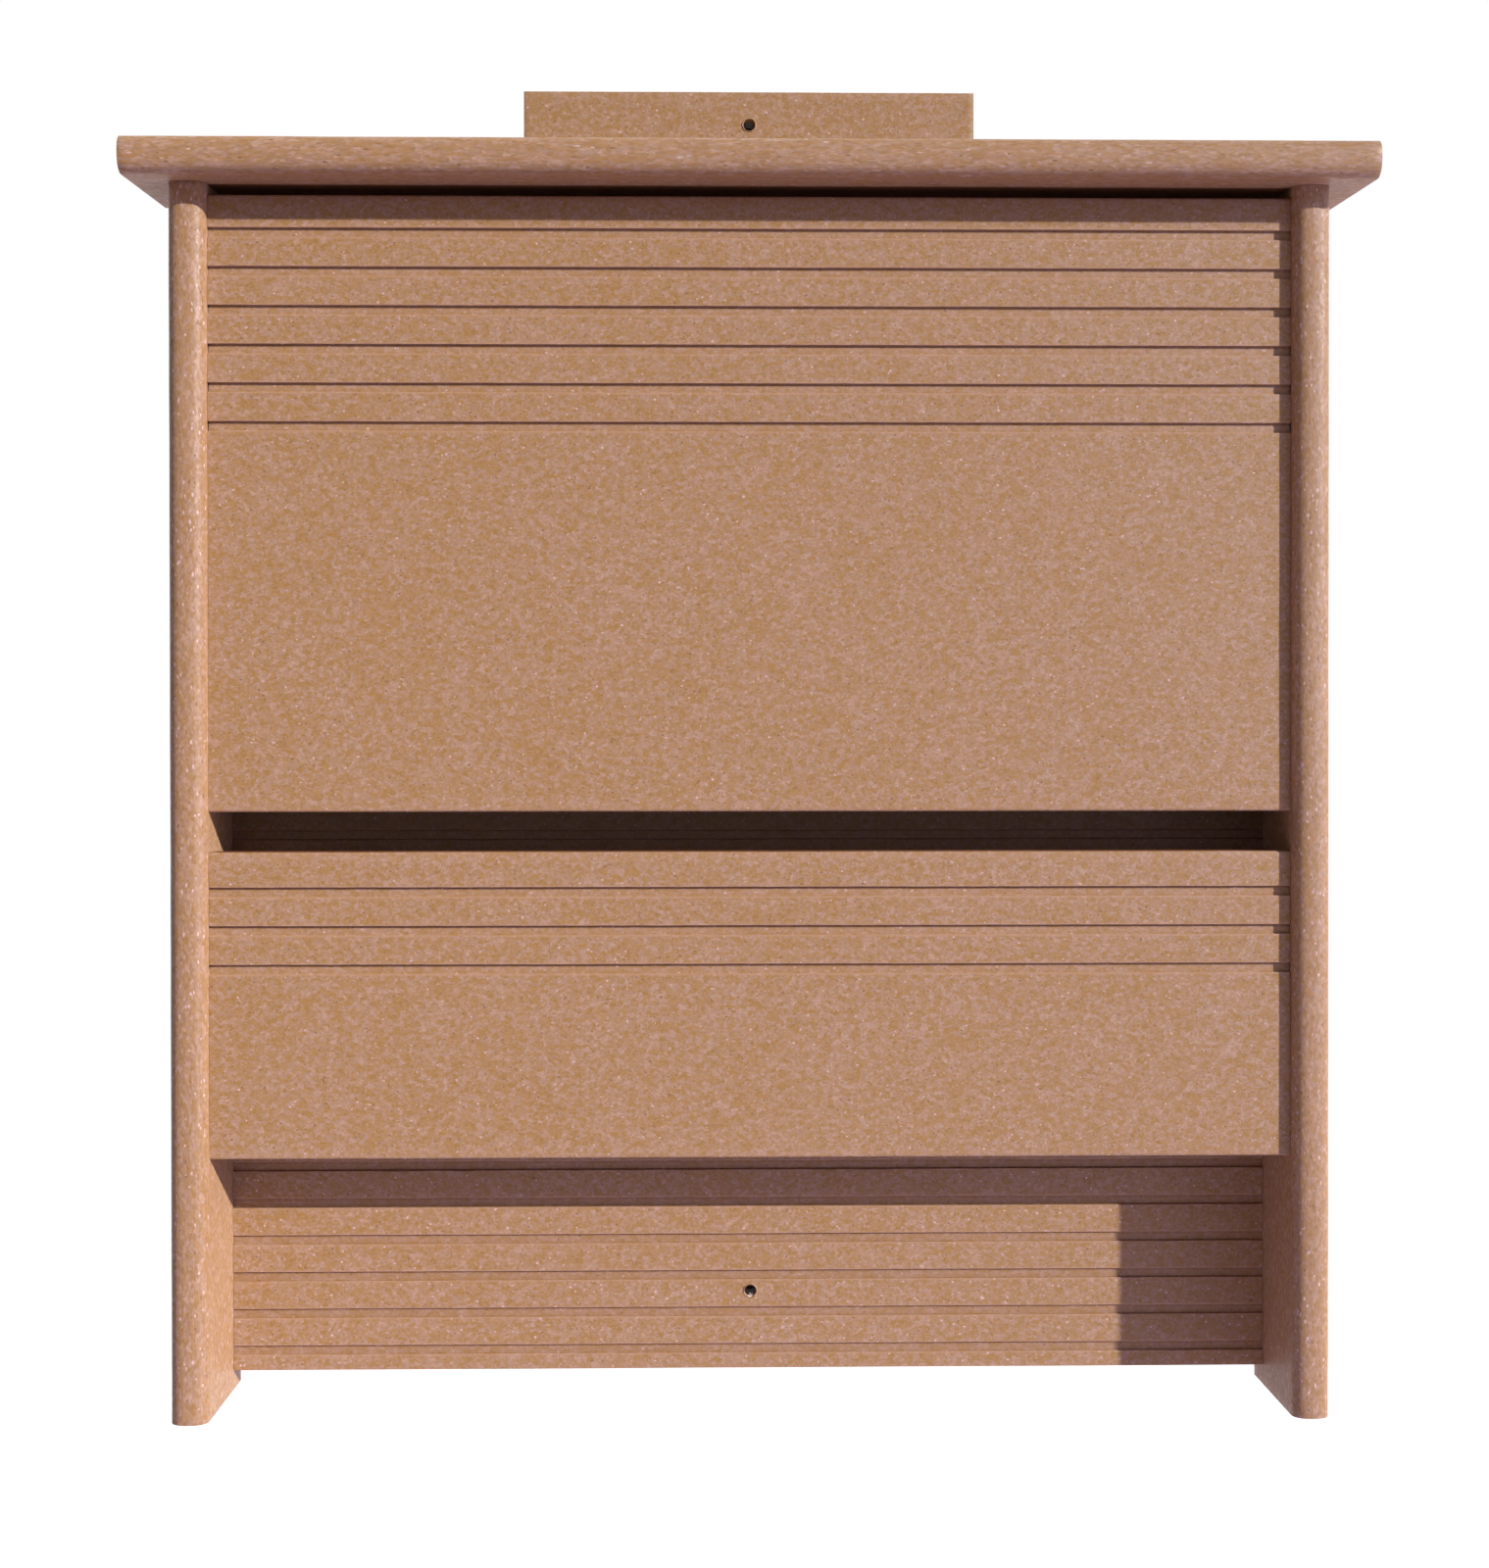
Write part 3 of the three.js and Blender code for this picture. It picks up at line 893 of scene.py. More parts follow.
@dataclass
class Fixings:
    """Every screw of the box, at the place that the frame gives it.

    Attributes:
        screw: The screw, the same everywhere.
        slope: The roof's slope in radians.
        steel: The screws' material.
        seed: The lot from which each screw's last turn is drawn.
    """

    screw: Screw
    slope: float
    steel: Material
    seed: int = 11

    def seats(self) -> dict[str, Matrix]:
        """Finds where each screw's head sits and which way it points.

        Returns:
            The screws' places, by their nodes in the frame.
        """
        places = {}
        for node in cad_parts:
            if "_screw_" not in node:
                continue
            low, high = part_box(node)
            middle = (low + high) / 2
            if node.startswith("roof"):
                lift = self.screw.head_radius * math.sin(self.slope)
                head = Vector((middle.x, middle.y, high.z - lift))
                turn = Matrix.Rotation(self.slope, 4, "X")
            elif "_left_" in node:
                head = Vector((low.x, middle.y, middle.z))
                turn = Matrix.Rotation(-math.pi / 2, 4, "Y")
            else:
                head = Vector((high.x, middle.y, middle.z))
                turn = Matrix.Rotation(math.pi / 2, 4, "Y")
            places[node] = Matrix.Translation(head) @ turn
        return places

    def holes(self, node: str) -> list[Piece]:
        """The holes that the screws make in one board.

        Args:
            node: The board's node in the frame.

        Returns:
            One solid for each screw that reaches the board.
        """
        low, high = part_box(node)
        found = []
        for screw_node, seat in self.seats().items():
            other_low, other_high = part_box(screw_node)
            if all(other_low[i] < high[i] and other_high[i] > low[i] for i in range(3)):
                found.append(self.screw.hole(seat))
        return found

    def build(self) -> list[Piece]:
        """Drives every screw, each turned by its own angle as hands leave them.

        Returns:
            The screws.
        """
        pieces = []
        lot = np.random.default_rng(self.seed)
        for node, seat in self.seats().items():
            piece = link(f"{node}_driven", self.screw.mesh())
            piece.matrix_world = seat @ Matrix.Rotation(lot.uniform(0, 2 * math.pi), 4, "Z")
            piece.data.materials.append(self.steel)
            finish_mesh(piece)
            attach(piece, BODY)
            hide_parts(node)
            pieces.append(piece)
        return pieces


@dataclass
class Board:
    """A plastic board swept from one cross-section, the base of every board of the box.

    Attributes:
        node: The board's node in the frame.
        slot: Not used.
        skin: The material of its extruded faces.
        sawn: The material of its sawn and routed faces.
        fixings: The screws, which make its holes.
        spacing: The greatest distance between two cross-sections.
        uneven: How its faces rise and fall.
        easing: How far its sawn edges are eased.
        rim_degrees: The angle from which two faces make an edge that is eased.
        fray: How far a routed lip is torn back at most.
        nick_share: The share of a lip's points that are nicked.
        row: The greatest distance between two plain points of the cross-section.
    """

    node: str
    slot: str
    skin: Material
    sawn: Material
    fixings: Fixings
    spacing: float
    uneven: Unevenness
    easing: float = 0.5 * MM
    rim_degrees: float = 50.0
    fray: float = 0.0
    nick_share: float = 0.012
    row: float = 5 * MM

    def __post_init__(self) -> None:
        """Reads the board's place from the frame."""
        self.low, self.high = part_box(self.node)

    def length(self) -> float:
        """The length that the section is swept along, here from left to right."""
        return self.high.x - self.low.x

    def stations(self) -> np.ndarray:
        """Shares of the length, from 0 to 1, at which the section stands."""
        return np.linspace(0, 1, math.ceil(self.length() / self.spacing) + 1)

    def across(self, shares: np.ndarray, section: np.ndarray) -> np.ndarray:
        """The section's places across the box when it is swept from left to right."""
        return np.broadcast_to((self.low.x + shares * self.length())[:, None], section.shape[:2])

    def rungs(self) -> list[Rung]:
        """The cross-section, as rungs from one edge to the other."""
        raise NotImplementedError

    def place(self, shares: np.ndarray, section: np.ndarray) -> np.ndarray:
        """Puts points of the section in the frame.

        Args:
            shares: Shares of the length, one for each station.
            section: The section's points at each station, across and up.

        Returns:
            Their places as X, Y and Z.
        """
        raise NotImplementedError

    def eases(self, middle: Vector) -> bool:
        """True if a sawn edge with this middle is eased."""
        return True

    def present(self, shares: np.ndarray, rungs: list[Rung]) -> np.ndarray:
        """Which cells between two stations and two rungs hold plastic."""
        return np.ones((len(shares) - 1, len(rungs) - 1), bool)

    def shade_spread(self, shares: np.ndarray) -> np.ndarray:
        """How much of a rung's painted shade lies at each station, from 0 to 1."""
        return np.ones(len(shares))

    def tear(self, stations: int, rungs: list[Rung]) -> np.ndarray:
        """How far each point of a routed lip is torn back.

        Args:
            stations: How many stations there are.
            rungs: The cross-section.

        Returns:
            Depths for each station and rung, nothing away from the lips.
        """
        lot = np.random.default_rng(self.uneven.seed + 1)
        rough = lot.normal(0, 1, (stations, len(rungs)))
        rough = (np.roll(rough, 1, axis=0) + 2 * rough + np.roll(rough, -1, axis=0)) / 4
        nicks = lot.random((stations, len(rungs))) < self.nick_share
        # Half of the fray on average, more or less as the cutter chattered, and the most at nicks.
        torn = self.fray * np.clip(0.5 + 0.6 * rough + 1.4 * nicks, 0, 2)
        on_lip = np.array([rung.wear_and_highlight >= 1 for rung in rungs])
        return torn * on_lip[None, :]

    def plate(self) -> Piece:
        """Sweeps the cross-section into a closed plate of two skins and the walls between.

        Returns:
            The board before any cut.
        """
        rungs = self.rungs()
        shares = self.stations()
        face = np.array([rung.face for rung in rungs])
        back = np.array([rung.back for rung in rungs])
        ring = np.concatenate([face, back[::-1]])
        step = np.linalg.norm(np.diff(ring, axis=0), axis=1)
        around = np.concatenate([[0], np.cumsum(step)])
        sink = self.uneven.sink(shares * self.length(), around)
        sink[:, : len(rungs)] += self.tear(len(shares), rungs)
        moved = ring[None] - outward(ring)[None] * sink[:, :, None]
        sharp = np.isclose(face, back).all(axis=1)
        moved_face = moved[:, : len(rungs)]
        moved_back = moved[:, len(rungs) :][:, ::-1]
        moved_back[:, sharp] = moved_face[:, sharp]
        skins = np.concatenate([self.place(shares, moved_face), self.place(shares, moved_back)])
        return self.stitch(skins.reshape(-1, 3), shares, rungs, sharp)

    def stitch(
        self, points: np.ndarray, shares: np.ndarray, rungs: list[Rung], sharp: np.ndarray
    ) -> Piece:
        """Joins the two skins' points into faces, walls and eased rims.

        Args:
            points: The face's points, station by station, and then the back's.
            shares: The stations.
            rungs: The cross-section.
            sharp: The rungs whose two points are one, at a rounded edge's tip.

        Returns:
            The board as an object.
        """
        width = len(rungs)
        behind = len(shares) * width
        held = np.pad(self.present(shares, rungs), 1)
        # Each face's corners, its material, and whether it is a wall.
        faces: list[tuple[tuple[int, int, int, int], int, bool]] = []
        for i in range(len(shares)):
            for j in range(width):
                here = i * width + j
                right, above, far = here + width, here + 1, here + behind
                if held[i + 1, j + 1]:
                    routed = SAWN if rungs[j].cut else SKIN
                    faces.append(((here, right, right + 1, above), routed, False))
                    faces.append(((far, far + 1, far + width + 1, far + width), SKIN, False))
                if held[i, j + 1] != held[i + 1, j + 1]:
                    faces.append(((here, above, above + behind, far), SAWN, True))
                if held[i + 1, j] != held[i + 1, j + 1] and not sharp[j]:
                    faces.append(((here, right, right + behind, far), SAWN, True))
        mesh = bpy.data.meshes.new(self.node)
        mesh.from_pydata(points.tolist(), [], [corners for corners, _, _ in faces])
        mesh.materials.append(self.skin)
        mesh.materials.append(self.sawn)
        mesh.polygons.foreach_set("material_index", [finish for _, finish, _ in faces])
        # Wear with painted highlights on the face, and painted shade on both skins.
        wear_and_light = ([rung.wear_and_highlight for rung in rungs], [0.0] * width)
        shade_paint = ([rung.painted_shade for rung in rungs], [rung.painted_shade_behind for rung in rungs])
        everywhere = np.ones(len(shares))
        for name, sides, along in ((WEAR_AND_HIGHLIGHT, wear_and_light, everywhere), (PAINTED_SHADE, shade_paint, self.shade_spread(shares))):
            layer = mesh.attributes.new(name, "FLOAT", "POINT")
            both = [np.outer(along, side).ravel() for side in sides]
            layer.data.foreach_set("value", np.concatenate(both))
        work = bmesh.new()
        work.from_mesh(mesh)
        is_wall = work.faces.layers.int.new("wall")
        work.faces.ensure_lookup_table()
        for face, (_, _, wall) in zip(work.faces, faces):
            face[is_wall] = int(wall)
        bmesh.ops.remove_doubles(work, verts=work.verts, dist=0.001 * MM)
        loose = [v for v in work.verts if not v.link_faces]
        bmesh.ops.delete(work, geom=loose, context="VERTS")
        bmesh.ops.recalc_face_normals(work, faces=work.faces)
        self.ease(work, is_wall)
        work.faces.layers.int.remove(is_wall)
        work.to_mesh(mesh)
        work.free()
        return link(f"{self.node}_board", mesh)

    def ease(self, work: bmesh.types.BMesh, is_wall: bmesh.types.BMLayerItem) -> None:
        """Rounds the rims where a sawn wall meets a skin.

        Args:
            work: The board.
            is_wall: The layer that marks its walls.
        """
        rims = []
        for edge in work.edges:
            if len(edge.link_faces) != 2:
                continue
            one, other = edge.link_faces
            if not (one[is_wall] or other[is_wall]):
                continue
            middle = (edge.verts[0].co + edge.verts[1].co) / 2
            steep = one.normal.angle(other.normal) > math.radians(self.rim_degrees)
            if steep and self.eases(middle):
                rims.append(edge)
        if rims:
            bmesh.ops.bevel(
                work,
                geom=rims,
                offset=self.easing,
                offset_type="OFFSET",
                segments=2,
                profile=0.5,
                affect="EDGES",
                clamp_overlap=True,
                material=-1,
            )

    def machine(self, piece: Piece) -> None:
        """Cuts what the board has beyond its screw holes."""

    def build(self) -> Piece:
        """Makes the board, cuts it and puts it in its node's place.

        Returns:
            The board.
        """
        piece = self.plate()
        combine(piece, self.fixings.holes(self.node), Solid.CUT)
        self.machine(piece)
        finish_mesh(piece)
        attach(piece, BODY)
        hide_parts(self.node)
        return piece


@dataclass
class GroovedSheet(Board):
    """A sheet with level grip grooves routed across its face, which shows to the front.

    Attributes:
        grooves: How many grooves it has.
        top_drop: How far the middle of the highest one lies under the sheet's top.
        pitch: The distance from groove to groove.
        groove_height: Each groove's height.
        groove_depth: Each groove's depth.
        groove_corner: How far the corners of its floor are cut off.
        lip: How far a groove's lips are rounded.
        wear_and_highlight_reach: How far beyond a lip its wear and painted highlight fade out.
        painted_shade_reach: How far under the upper lip the painted shade reaches.
        painted_shade: How dark it is, from 0 to 1.
        floor_shade: How much painted shade lies on a groove's floor.
        floor_highlight: How much painted light brightens a groove's floor, from 0 to 1.
        top_shade: How much painted shade the sheet's top holds, from 0 to 1.
        eaves_shade: How much painted shade its face holds close under its top.
        eaves_reach: How far down that goes.
        panel_easing: How far the face's two long edges are eased.
        panel_wear: How worn they are, from 0 to 1.
        snug: How far each end reaches into the slack beside it, which closes under the screws.
    """

    grooves: int = 0
    top_drop: float = 0.0
    pitch: float = 16.5 * MM
    groove_height: float = 4 * MM
    groove_depth: float = 1.6 * MM
    groove_corner: float = 0.35 * MM
    lip: float = 0.22 * MM
    wear_and_highlight_reach: float = 0.9 * MM
    painted_shade_reach: float = 1.5 * MM
    painted_shade: float = 0.5
    floor_shade: float = 0.0
    floor_highlight: float = 0.3
    top_shade: float = 0.85
    eaves_shade: float = 0.0
    eaves_reach: float = 12 * MM
    panel_easing: float = 1.2 * MM
    panel_wear: float = 0.35
    snug: float = 0.34 * MM

    def __post_init__(self) -> None:
        """Reads the sheet's place and draws its ends up to the side boards."""
        super().__post_init__()
        self.low.x -= self.snug
        self.high.x += self.snug

    def thickness(self) -> float:
        """The sheet's thickness."""
        return self.high.y - self.low.y

    def height(self) -> float:
        """The sheet's height."""
        return self.high.z - self.low.z

    def groove_middles(self) -> list[float]:
        """Heights of the grooves' middles above the sheet's foot, from the lowest."""
        top = self.height() - self.top_drop
        return [top - step * self.pitch for step in reversed(range(self.grooves))]

    def groove(self, middle: float) -> list[Rung]:
        """One groove's section from its lower lip to its upper one.

        Args:
            middle: The height of its middle.

        Returns:
            Its rungs upwards, with nothing behind them yet.
        """
        low = middle - self.groove_height / 2
        high = middle + self.groove_height / 2
        floor, corner = self.groove_depth, self.groove_corner
        lower_lip = arc((self.lip, low - self.lip), self.lip, 180, 90, 2)
        upper_lip = arc((self.lip, high + self.lip), self.lip, 270, 180, 2)
        # Both lips carry full wear and a painted highlight.
        inside = [Rung(point, wear_and_highlight=1.0) for point in lower_lip]
        # Depth, height, painted light and painted shade, from the lower wall over the floor to the
        # upper wall.
        for depth, up, wear_and_light, shade_paint in (
            (floor - corner, low, 0.0, 2 * self.floor_shade),
            (floor, low + corner, self.floor_highlight, self.floor_shade),
            (floor, high - self.painted_shade_reach, self.floor_highlight, self.floor_shade),
            (floor, high - 0.5 * self.painted_shade_reach, 0.0, 0.8 * self.painted_shade),
            (floor, high - corner, 0.0, self.painted_shade),
            (floor - corner, high, 0.0, self.painted_shade),
            (0.5 * floor, high, 0.0, 0.6 * self.painted_shade),
        ):
            inside.append(Rung((depth, up), wear_and_highlight=wear_and_light, painted_shade=shade_paint))
        inside += [Rung(point, wear_and_highlight=1.0) for point in upper_lip]
        return [
            Rung((0, low - self.lip - self.wear_and_highlight_reach)),
            *(replace(rung, cut=True) for rung in inside[:-1]),
            inside[-1],
            Rung((0, high + self.lip + self.wear_and_highlight_reach)),
        ]

    def shade_at(self, up: float) -> float:
        """How much painted shade lies on the face at a height: none lower than a reach under the top,
        full from three quarters of it up.

        Args:
            up: The height above the sheet's foot.

        Returns:
            From 0 to 1.
        """
        fade = 0.25 * self.eaves_reach
        share = (up - self.height() + self.eaves_reach) / fade
        return self.eaves_shade * min(max(share, 0.0), 1.0)

    def front(self) -> list[Rung]:
        """The face's section.

        Returns:
            Its rungs from its foot to its top, with nothing behind them yet.
        """
        ease, height = self.panel_easing, self.height()
        foot = arc((ease, ease), ease, 270, 180, 4)
        crest = arc((ease, height - ease), ease, 180, 90, 4)
        rungs, last = ([Rung(at, wear_and_highlight=self.panel_wear) for at in edge] for edge in (foot, crest))
        # The top edge's last point carries painted shade, and the back behind it too.
        last[-1] = replace(last[-1], painted_shade=self.top_shade)
        for stop in [*map(self.groove, self.groove_middles()), last]:
            plain = evenly(rungs[-1].up, stop[0].up, self.row)
            rungs += [*(Rung((0, up)) for up in plain), *stop]
        return [replace(rung, painted_shade=max(rung.painted_shade, self.shade_at(rung.up))) for rung in rungs]

    def pair(self, front: list[Rung], backs: np.ndarray) -> list[Rung]:
        """Gives the face's rungs their points on the sheet's back.

        Args:
            front: The rungs from the foot to the top.
            backs: The heights of their points on the back.

        Returns:
            The whole rungs.
        """
        rungs = [replace(rung, back=(self.thickness(), up)) for rung, up in zip(front, backs)]
        return [*rungs[:-1], replace(rungs[-1], painted_shade_behind=rungs[-1].painted_shade)]

    def rungs(self) -> list[Rung]:
        """The section from the foot to the top, the back's points evenly spread."""
        front = self.front()
        return self.pair(front, np.linspace(0, self.height(), len(front)))

    def place(self, shares: np.ndarray, section: np.ndarray) -> np.ndarray:
        """Stands the section up behind the face, swept from left to right."""
        depth, up = section[..., 0], section[..., 1]
        return np.stack([self.across(shares, section), self.low.y + depth, self.low.z + up], axis=2)

    def eases(self, middle: Vector) -> bool:
        """The ends lie tight against the side boards and stay as sawn."""
        return min(middle.x - self.low.x, self.high.x - middle.x) > self.easing


@dataclass
class BackSheet(GroovedSheet):
    """The grooved back sheet with the plain hanger tab that stands above its shoulders.

    Attributes:
        shoulder: The height of the shoulders in the frame.
        entrance: The height of the roost's entrance in the frame.
        roost_shade: How much painted shade lies on the sheet inside the roost, from 0 to 1.
        roost_fade: How far above the entrance it takes to get there.
        first_rise: How far the lowest groove's middle lies above the sheet's foot.
        tab_width: The tab's width.
        hole_radius: The radius of the two hanging holes.
        hole_drop: How far the upper hole's middle lies under the tab's top. The lower one lies as
            far under the frame's origin as the upper one above it.
        hole_sides: How many points go round a hole.
        point_degrees: The angle of the drill's point.
        breakthrough: The radius of the opening that the point makes in the sheet's rear.
        hole_shade: How much painted shade lies on the inside of a hole, from 0 to 1.
        burr_height: How high the torn plastic round a hole's mouth stands.
        burr_width: How wide it is.
        burr_root: How far into the face its ring is set.
        raggedness: How uneven it is.
    """

    shoulder: float = 0.0
    entrance: float = 0.0
    roost_shade: float = 0.4
    roost_fade: float = 80 * MM
    first_rise: float = 9 * MM
    tab_width: float = 201.5 * MM
    hole_radius: float = 2.7 * MM
    hole_drop: float = 14.8 * MM
    hole_sides: int = 40
    point_degrees: float = 118.0
    breakthrough: float = 1.0 * MM
    hole_shade: float = 0.9
    burr_height: float = 0.35 * MM
    burr_width: float = 0.75 * MM
    burr_root: float = 0.3 * MM
    raggedness: float = 0.3

    def step(self) -> float:
        """The height of the shoulders above the sheet's foot."""
        return self.shoulder - self.low.z

    def groove_middles(self) -> list[float]:
        """Heights of the grooves' middles, from the foot up to the shoulders."""
        room = self.step() - self.groove_height - self.first_rise
        return [self.first_rise + index * self.pitch for index in range(math.ceil(room / self.pitch))]

    def stations(self) -> np.ndarray:
        """Where the section stands.

        Returns:
            Shares of the width, two of them at the tab's ends.
        """
        half, tab = self.length() / 2, self.tab_width / 2
        left = [-half, *evenly(-half, -tab, self.spacing)]
        tabbed = [-tab, *evenly(-tab, tab, self.spacing), tab]
        right = [*evenly(tab, half, self.spacing), half]
        return (np.array([*left, *tabbed, *right]) + half) / self.length()

    def shade_at(self, up: float) -> float:
        """How much dirt lies at a height: none outside, more and more inside the roost."""
        # Above the shoulders the tab hangs in the rain.
        inside = (self.low.z + up - self.entrance) / self.roost_fade
        return self.roost_shade * min(max(inside, 0.0), 1.0) if up < self.step() else 0.0

    def front(self) -> list[Rung]:
        """The face's section.

        Returns:
            Its rungs from its foot to its top, one of them at the shoulders.
        """
        rungs = super().front()
        below = [rung for rung in rungs if rung.up < self.step() - self.lip]
        above = [rung for rung in rungs if rung.up > self.step() + self.lip]
        return [*below, Rung((0, self.step())), *above]

    def rungs(self) -> list[Rung]:
        """The whole cross-section.

        Returns:
            Its rungs from the foot to the top, level on both faces at the shoulders.
        """
        front = self.front()
        turn = [rung.up for rung in front].index(self.step())
        below = np.linspace(0, self.step(), turn + 1)
        above = np.linspace(self.step(), self.height(), len(front) - turn)[1:]
        return self.pair(front, np.concatenate([below, above]))

    def present(self, shares: np.ndarray, rungs: list[Rung]) -> np.ndarray:
        """Finds where the sheet is: above its shoulders only the tab holds plastic.

        Args:
            shares: The stations.
            rungs: The cross-section.

        Returns:
            True for each cell between two stations and two rungs that holds plastic.
        """
        held = super().present(shares, rungs)
        middles = (shares[:-1] + shares[1:]) / 2 * self.length() - self.length() / 2
        beside = np.abs(middles) > self.tab_width / 2
        above = np.array([a.back[1] + b.back[1] > 2 * self.step() for a, b in zip(rungs, rungs[1:])])
        held[np.ix_(beside, above)] = False
        return held

    def burr(self, seed: int) -> list[np.ndarray]:
        """The torn ring of plastic that the drill leaves round a hole's mouth.

        Args:
            seed: The lot from which its raggedness is drawn.

        Returns:
            Rings of points from its inner foot over its crest to its outer foot.
        """
        lot = np.random.default_rng(seed)
        ragged = lot.normal(0, 1, self.hole_sides)
        ragged = 1 + self.raggedness * (np.roll(ragged, 1) + ragged + np.roll(ragged, -1)) / 3
        proud, root, reach, inner = self.burr_height, self.burr_root, self.burr_width, self.hole_radius
        rings = []
        for radius, rise in (
            (inner, -root),
            (inner, 0.6 * proud),
            (inner + 0.3 * reach, proud),
            (inner + 0.7 * reach, 0.45 * proud),
            (inner + reach, -root),
        ):
            ring = circle(inner + (radius - inner) * ragged, 0, self.hole_sides)
            ring[:, 2] = rise * ragged if rise > 0 else rise
            rings.append(ring)
        return rings

    def drill(self) -> list[np.ndarray]:
        """The drill when its point has just come through the rear.

        Returns:
            Its rings, from above the face to its tip.
        """
        steepness = math.tan(math.radians(self.point_degrees / 2))
        overrun = 3 * MM
        tip = self.thickness() + self.breakthrough / steepness
        profile = [
            (self.hole_radius, -overrun),
            (self.hole_radius, tip - self.hole_radius / steepness),
            (0.02 * self.hole_radius, tip),
        ]
        return [circle(radius, depth, self.hole_sides) for radius, depth in profile]

    def machine(self, piece: Piece) -> None:
        """Drills the two hanging holes and leaves their burrs.

        Args:
            piece: The sheet.
        """
        drills, burrs = [], []
        upper = self.high.z - self.hole_drop
        into, out_of = (Matrix.Rotation(turn, 4, "X") for turn in (-math.pi / 2, math.pi / 2))
        for seed, height in enumerate((upper, -upper)):
            place = Matrix.Translation((0, self.low.y, height))
            drills.append(link("drill", ringed_mesh("drill", self.drill())))
            drills[-1].matrix_world = place @ into
            burrs.append(link("burr", ringed_mesh("burr", self.burr(seed), looped=True)))
            burrs[-1].matrix_world = place @ out_of
        bpy.context.view_layer.update()
        combine(piece, drills, Solid.CUT)
        combine(piece, burrs, Solid.WELD)
        self.darken(piece, (upper, -upper))

    def darken(self, piece: Piece, heights: Point) -> None:
        """Paints shade on the inside of the holes.

        Args:
            piece: The drilled sheet.
            heights: The holes' heights in the frame.
        """
        margin = 0.5 * MM
        layer = piece.data.attributes[PAINTED_SHADE]
        for vertex in piece.data.vertices:
            inside = self.low.y + margin < vertex.co.y < self.high.y - margin
            off_axis = min(math.hypot(vertex.co.x, vertex.co.z - height) for height in heights)
            if inside and off_axis < self.hole_radius + margin:
                layer.data[vertex.index].value = self.hole_shade


@dataclass
class SideBoard(Board):
    """An upright board with a rounded front edge, its top sawn to the roof's slope.

    Attributes:
        slope: The roof's slope.
        seat: How far its top reaches up to the roof, whose screws close that slack.
    """

    slope: float = 0.0
    seat: float = 0.0

    def __post_init__(self) -> None:
        """Reads the board's place and draws its top up to the roof."""
        super().__post_init__()
        self.high.z += self.seat

    def length(self) -> float:
        """The board's greatest height, along which its section is swept."""
        return self.high.z - self.low.z

    def rungs(self) -> list[Rung]:
        """The cross-section.

        Returns:
            Its rungs from the front edge's tip back to the wall.
        """
        half = (self.high.x - self.low.x) / 2
        rear = self.high.y - self.low.y
        edge = RoundedEdge(2 * half)
        flank = [(depth, half) for depth in [*evenly(edge.depth, rear, self.row), rear]]
        return [Rung((-across, depth), (across, depth)) for depth, across in [*edge.half(), *flank]]

    def place(self, shares: np.ndarray, section: np.ndarray) -> np.ndarray:
        """Stretches the section from the foot up to the sloping top.

        Args:
            shares: Shares of the height, one for each station.
            section: The section's points at each station.

        Returns:
            Their places as X, Y and Z.
        """
        across = (self.low.x + self.high.x) / 2 + section[..., 0]
        depth = self.low.y + section[..., 1]
        top = self.high.z + depth * math.tan(self.slope)
        return np.stack([across, depth, self.low.z + shares[:, None] * (top - self.low.z)], axis=2)


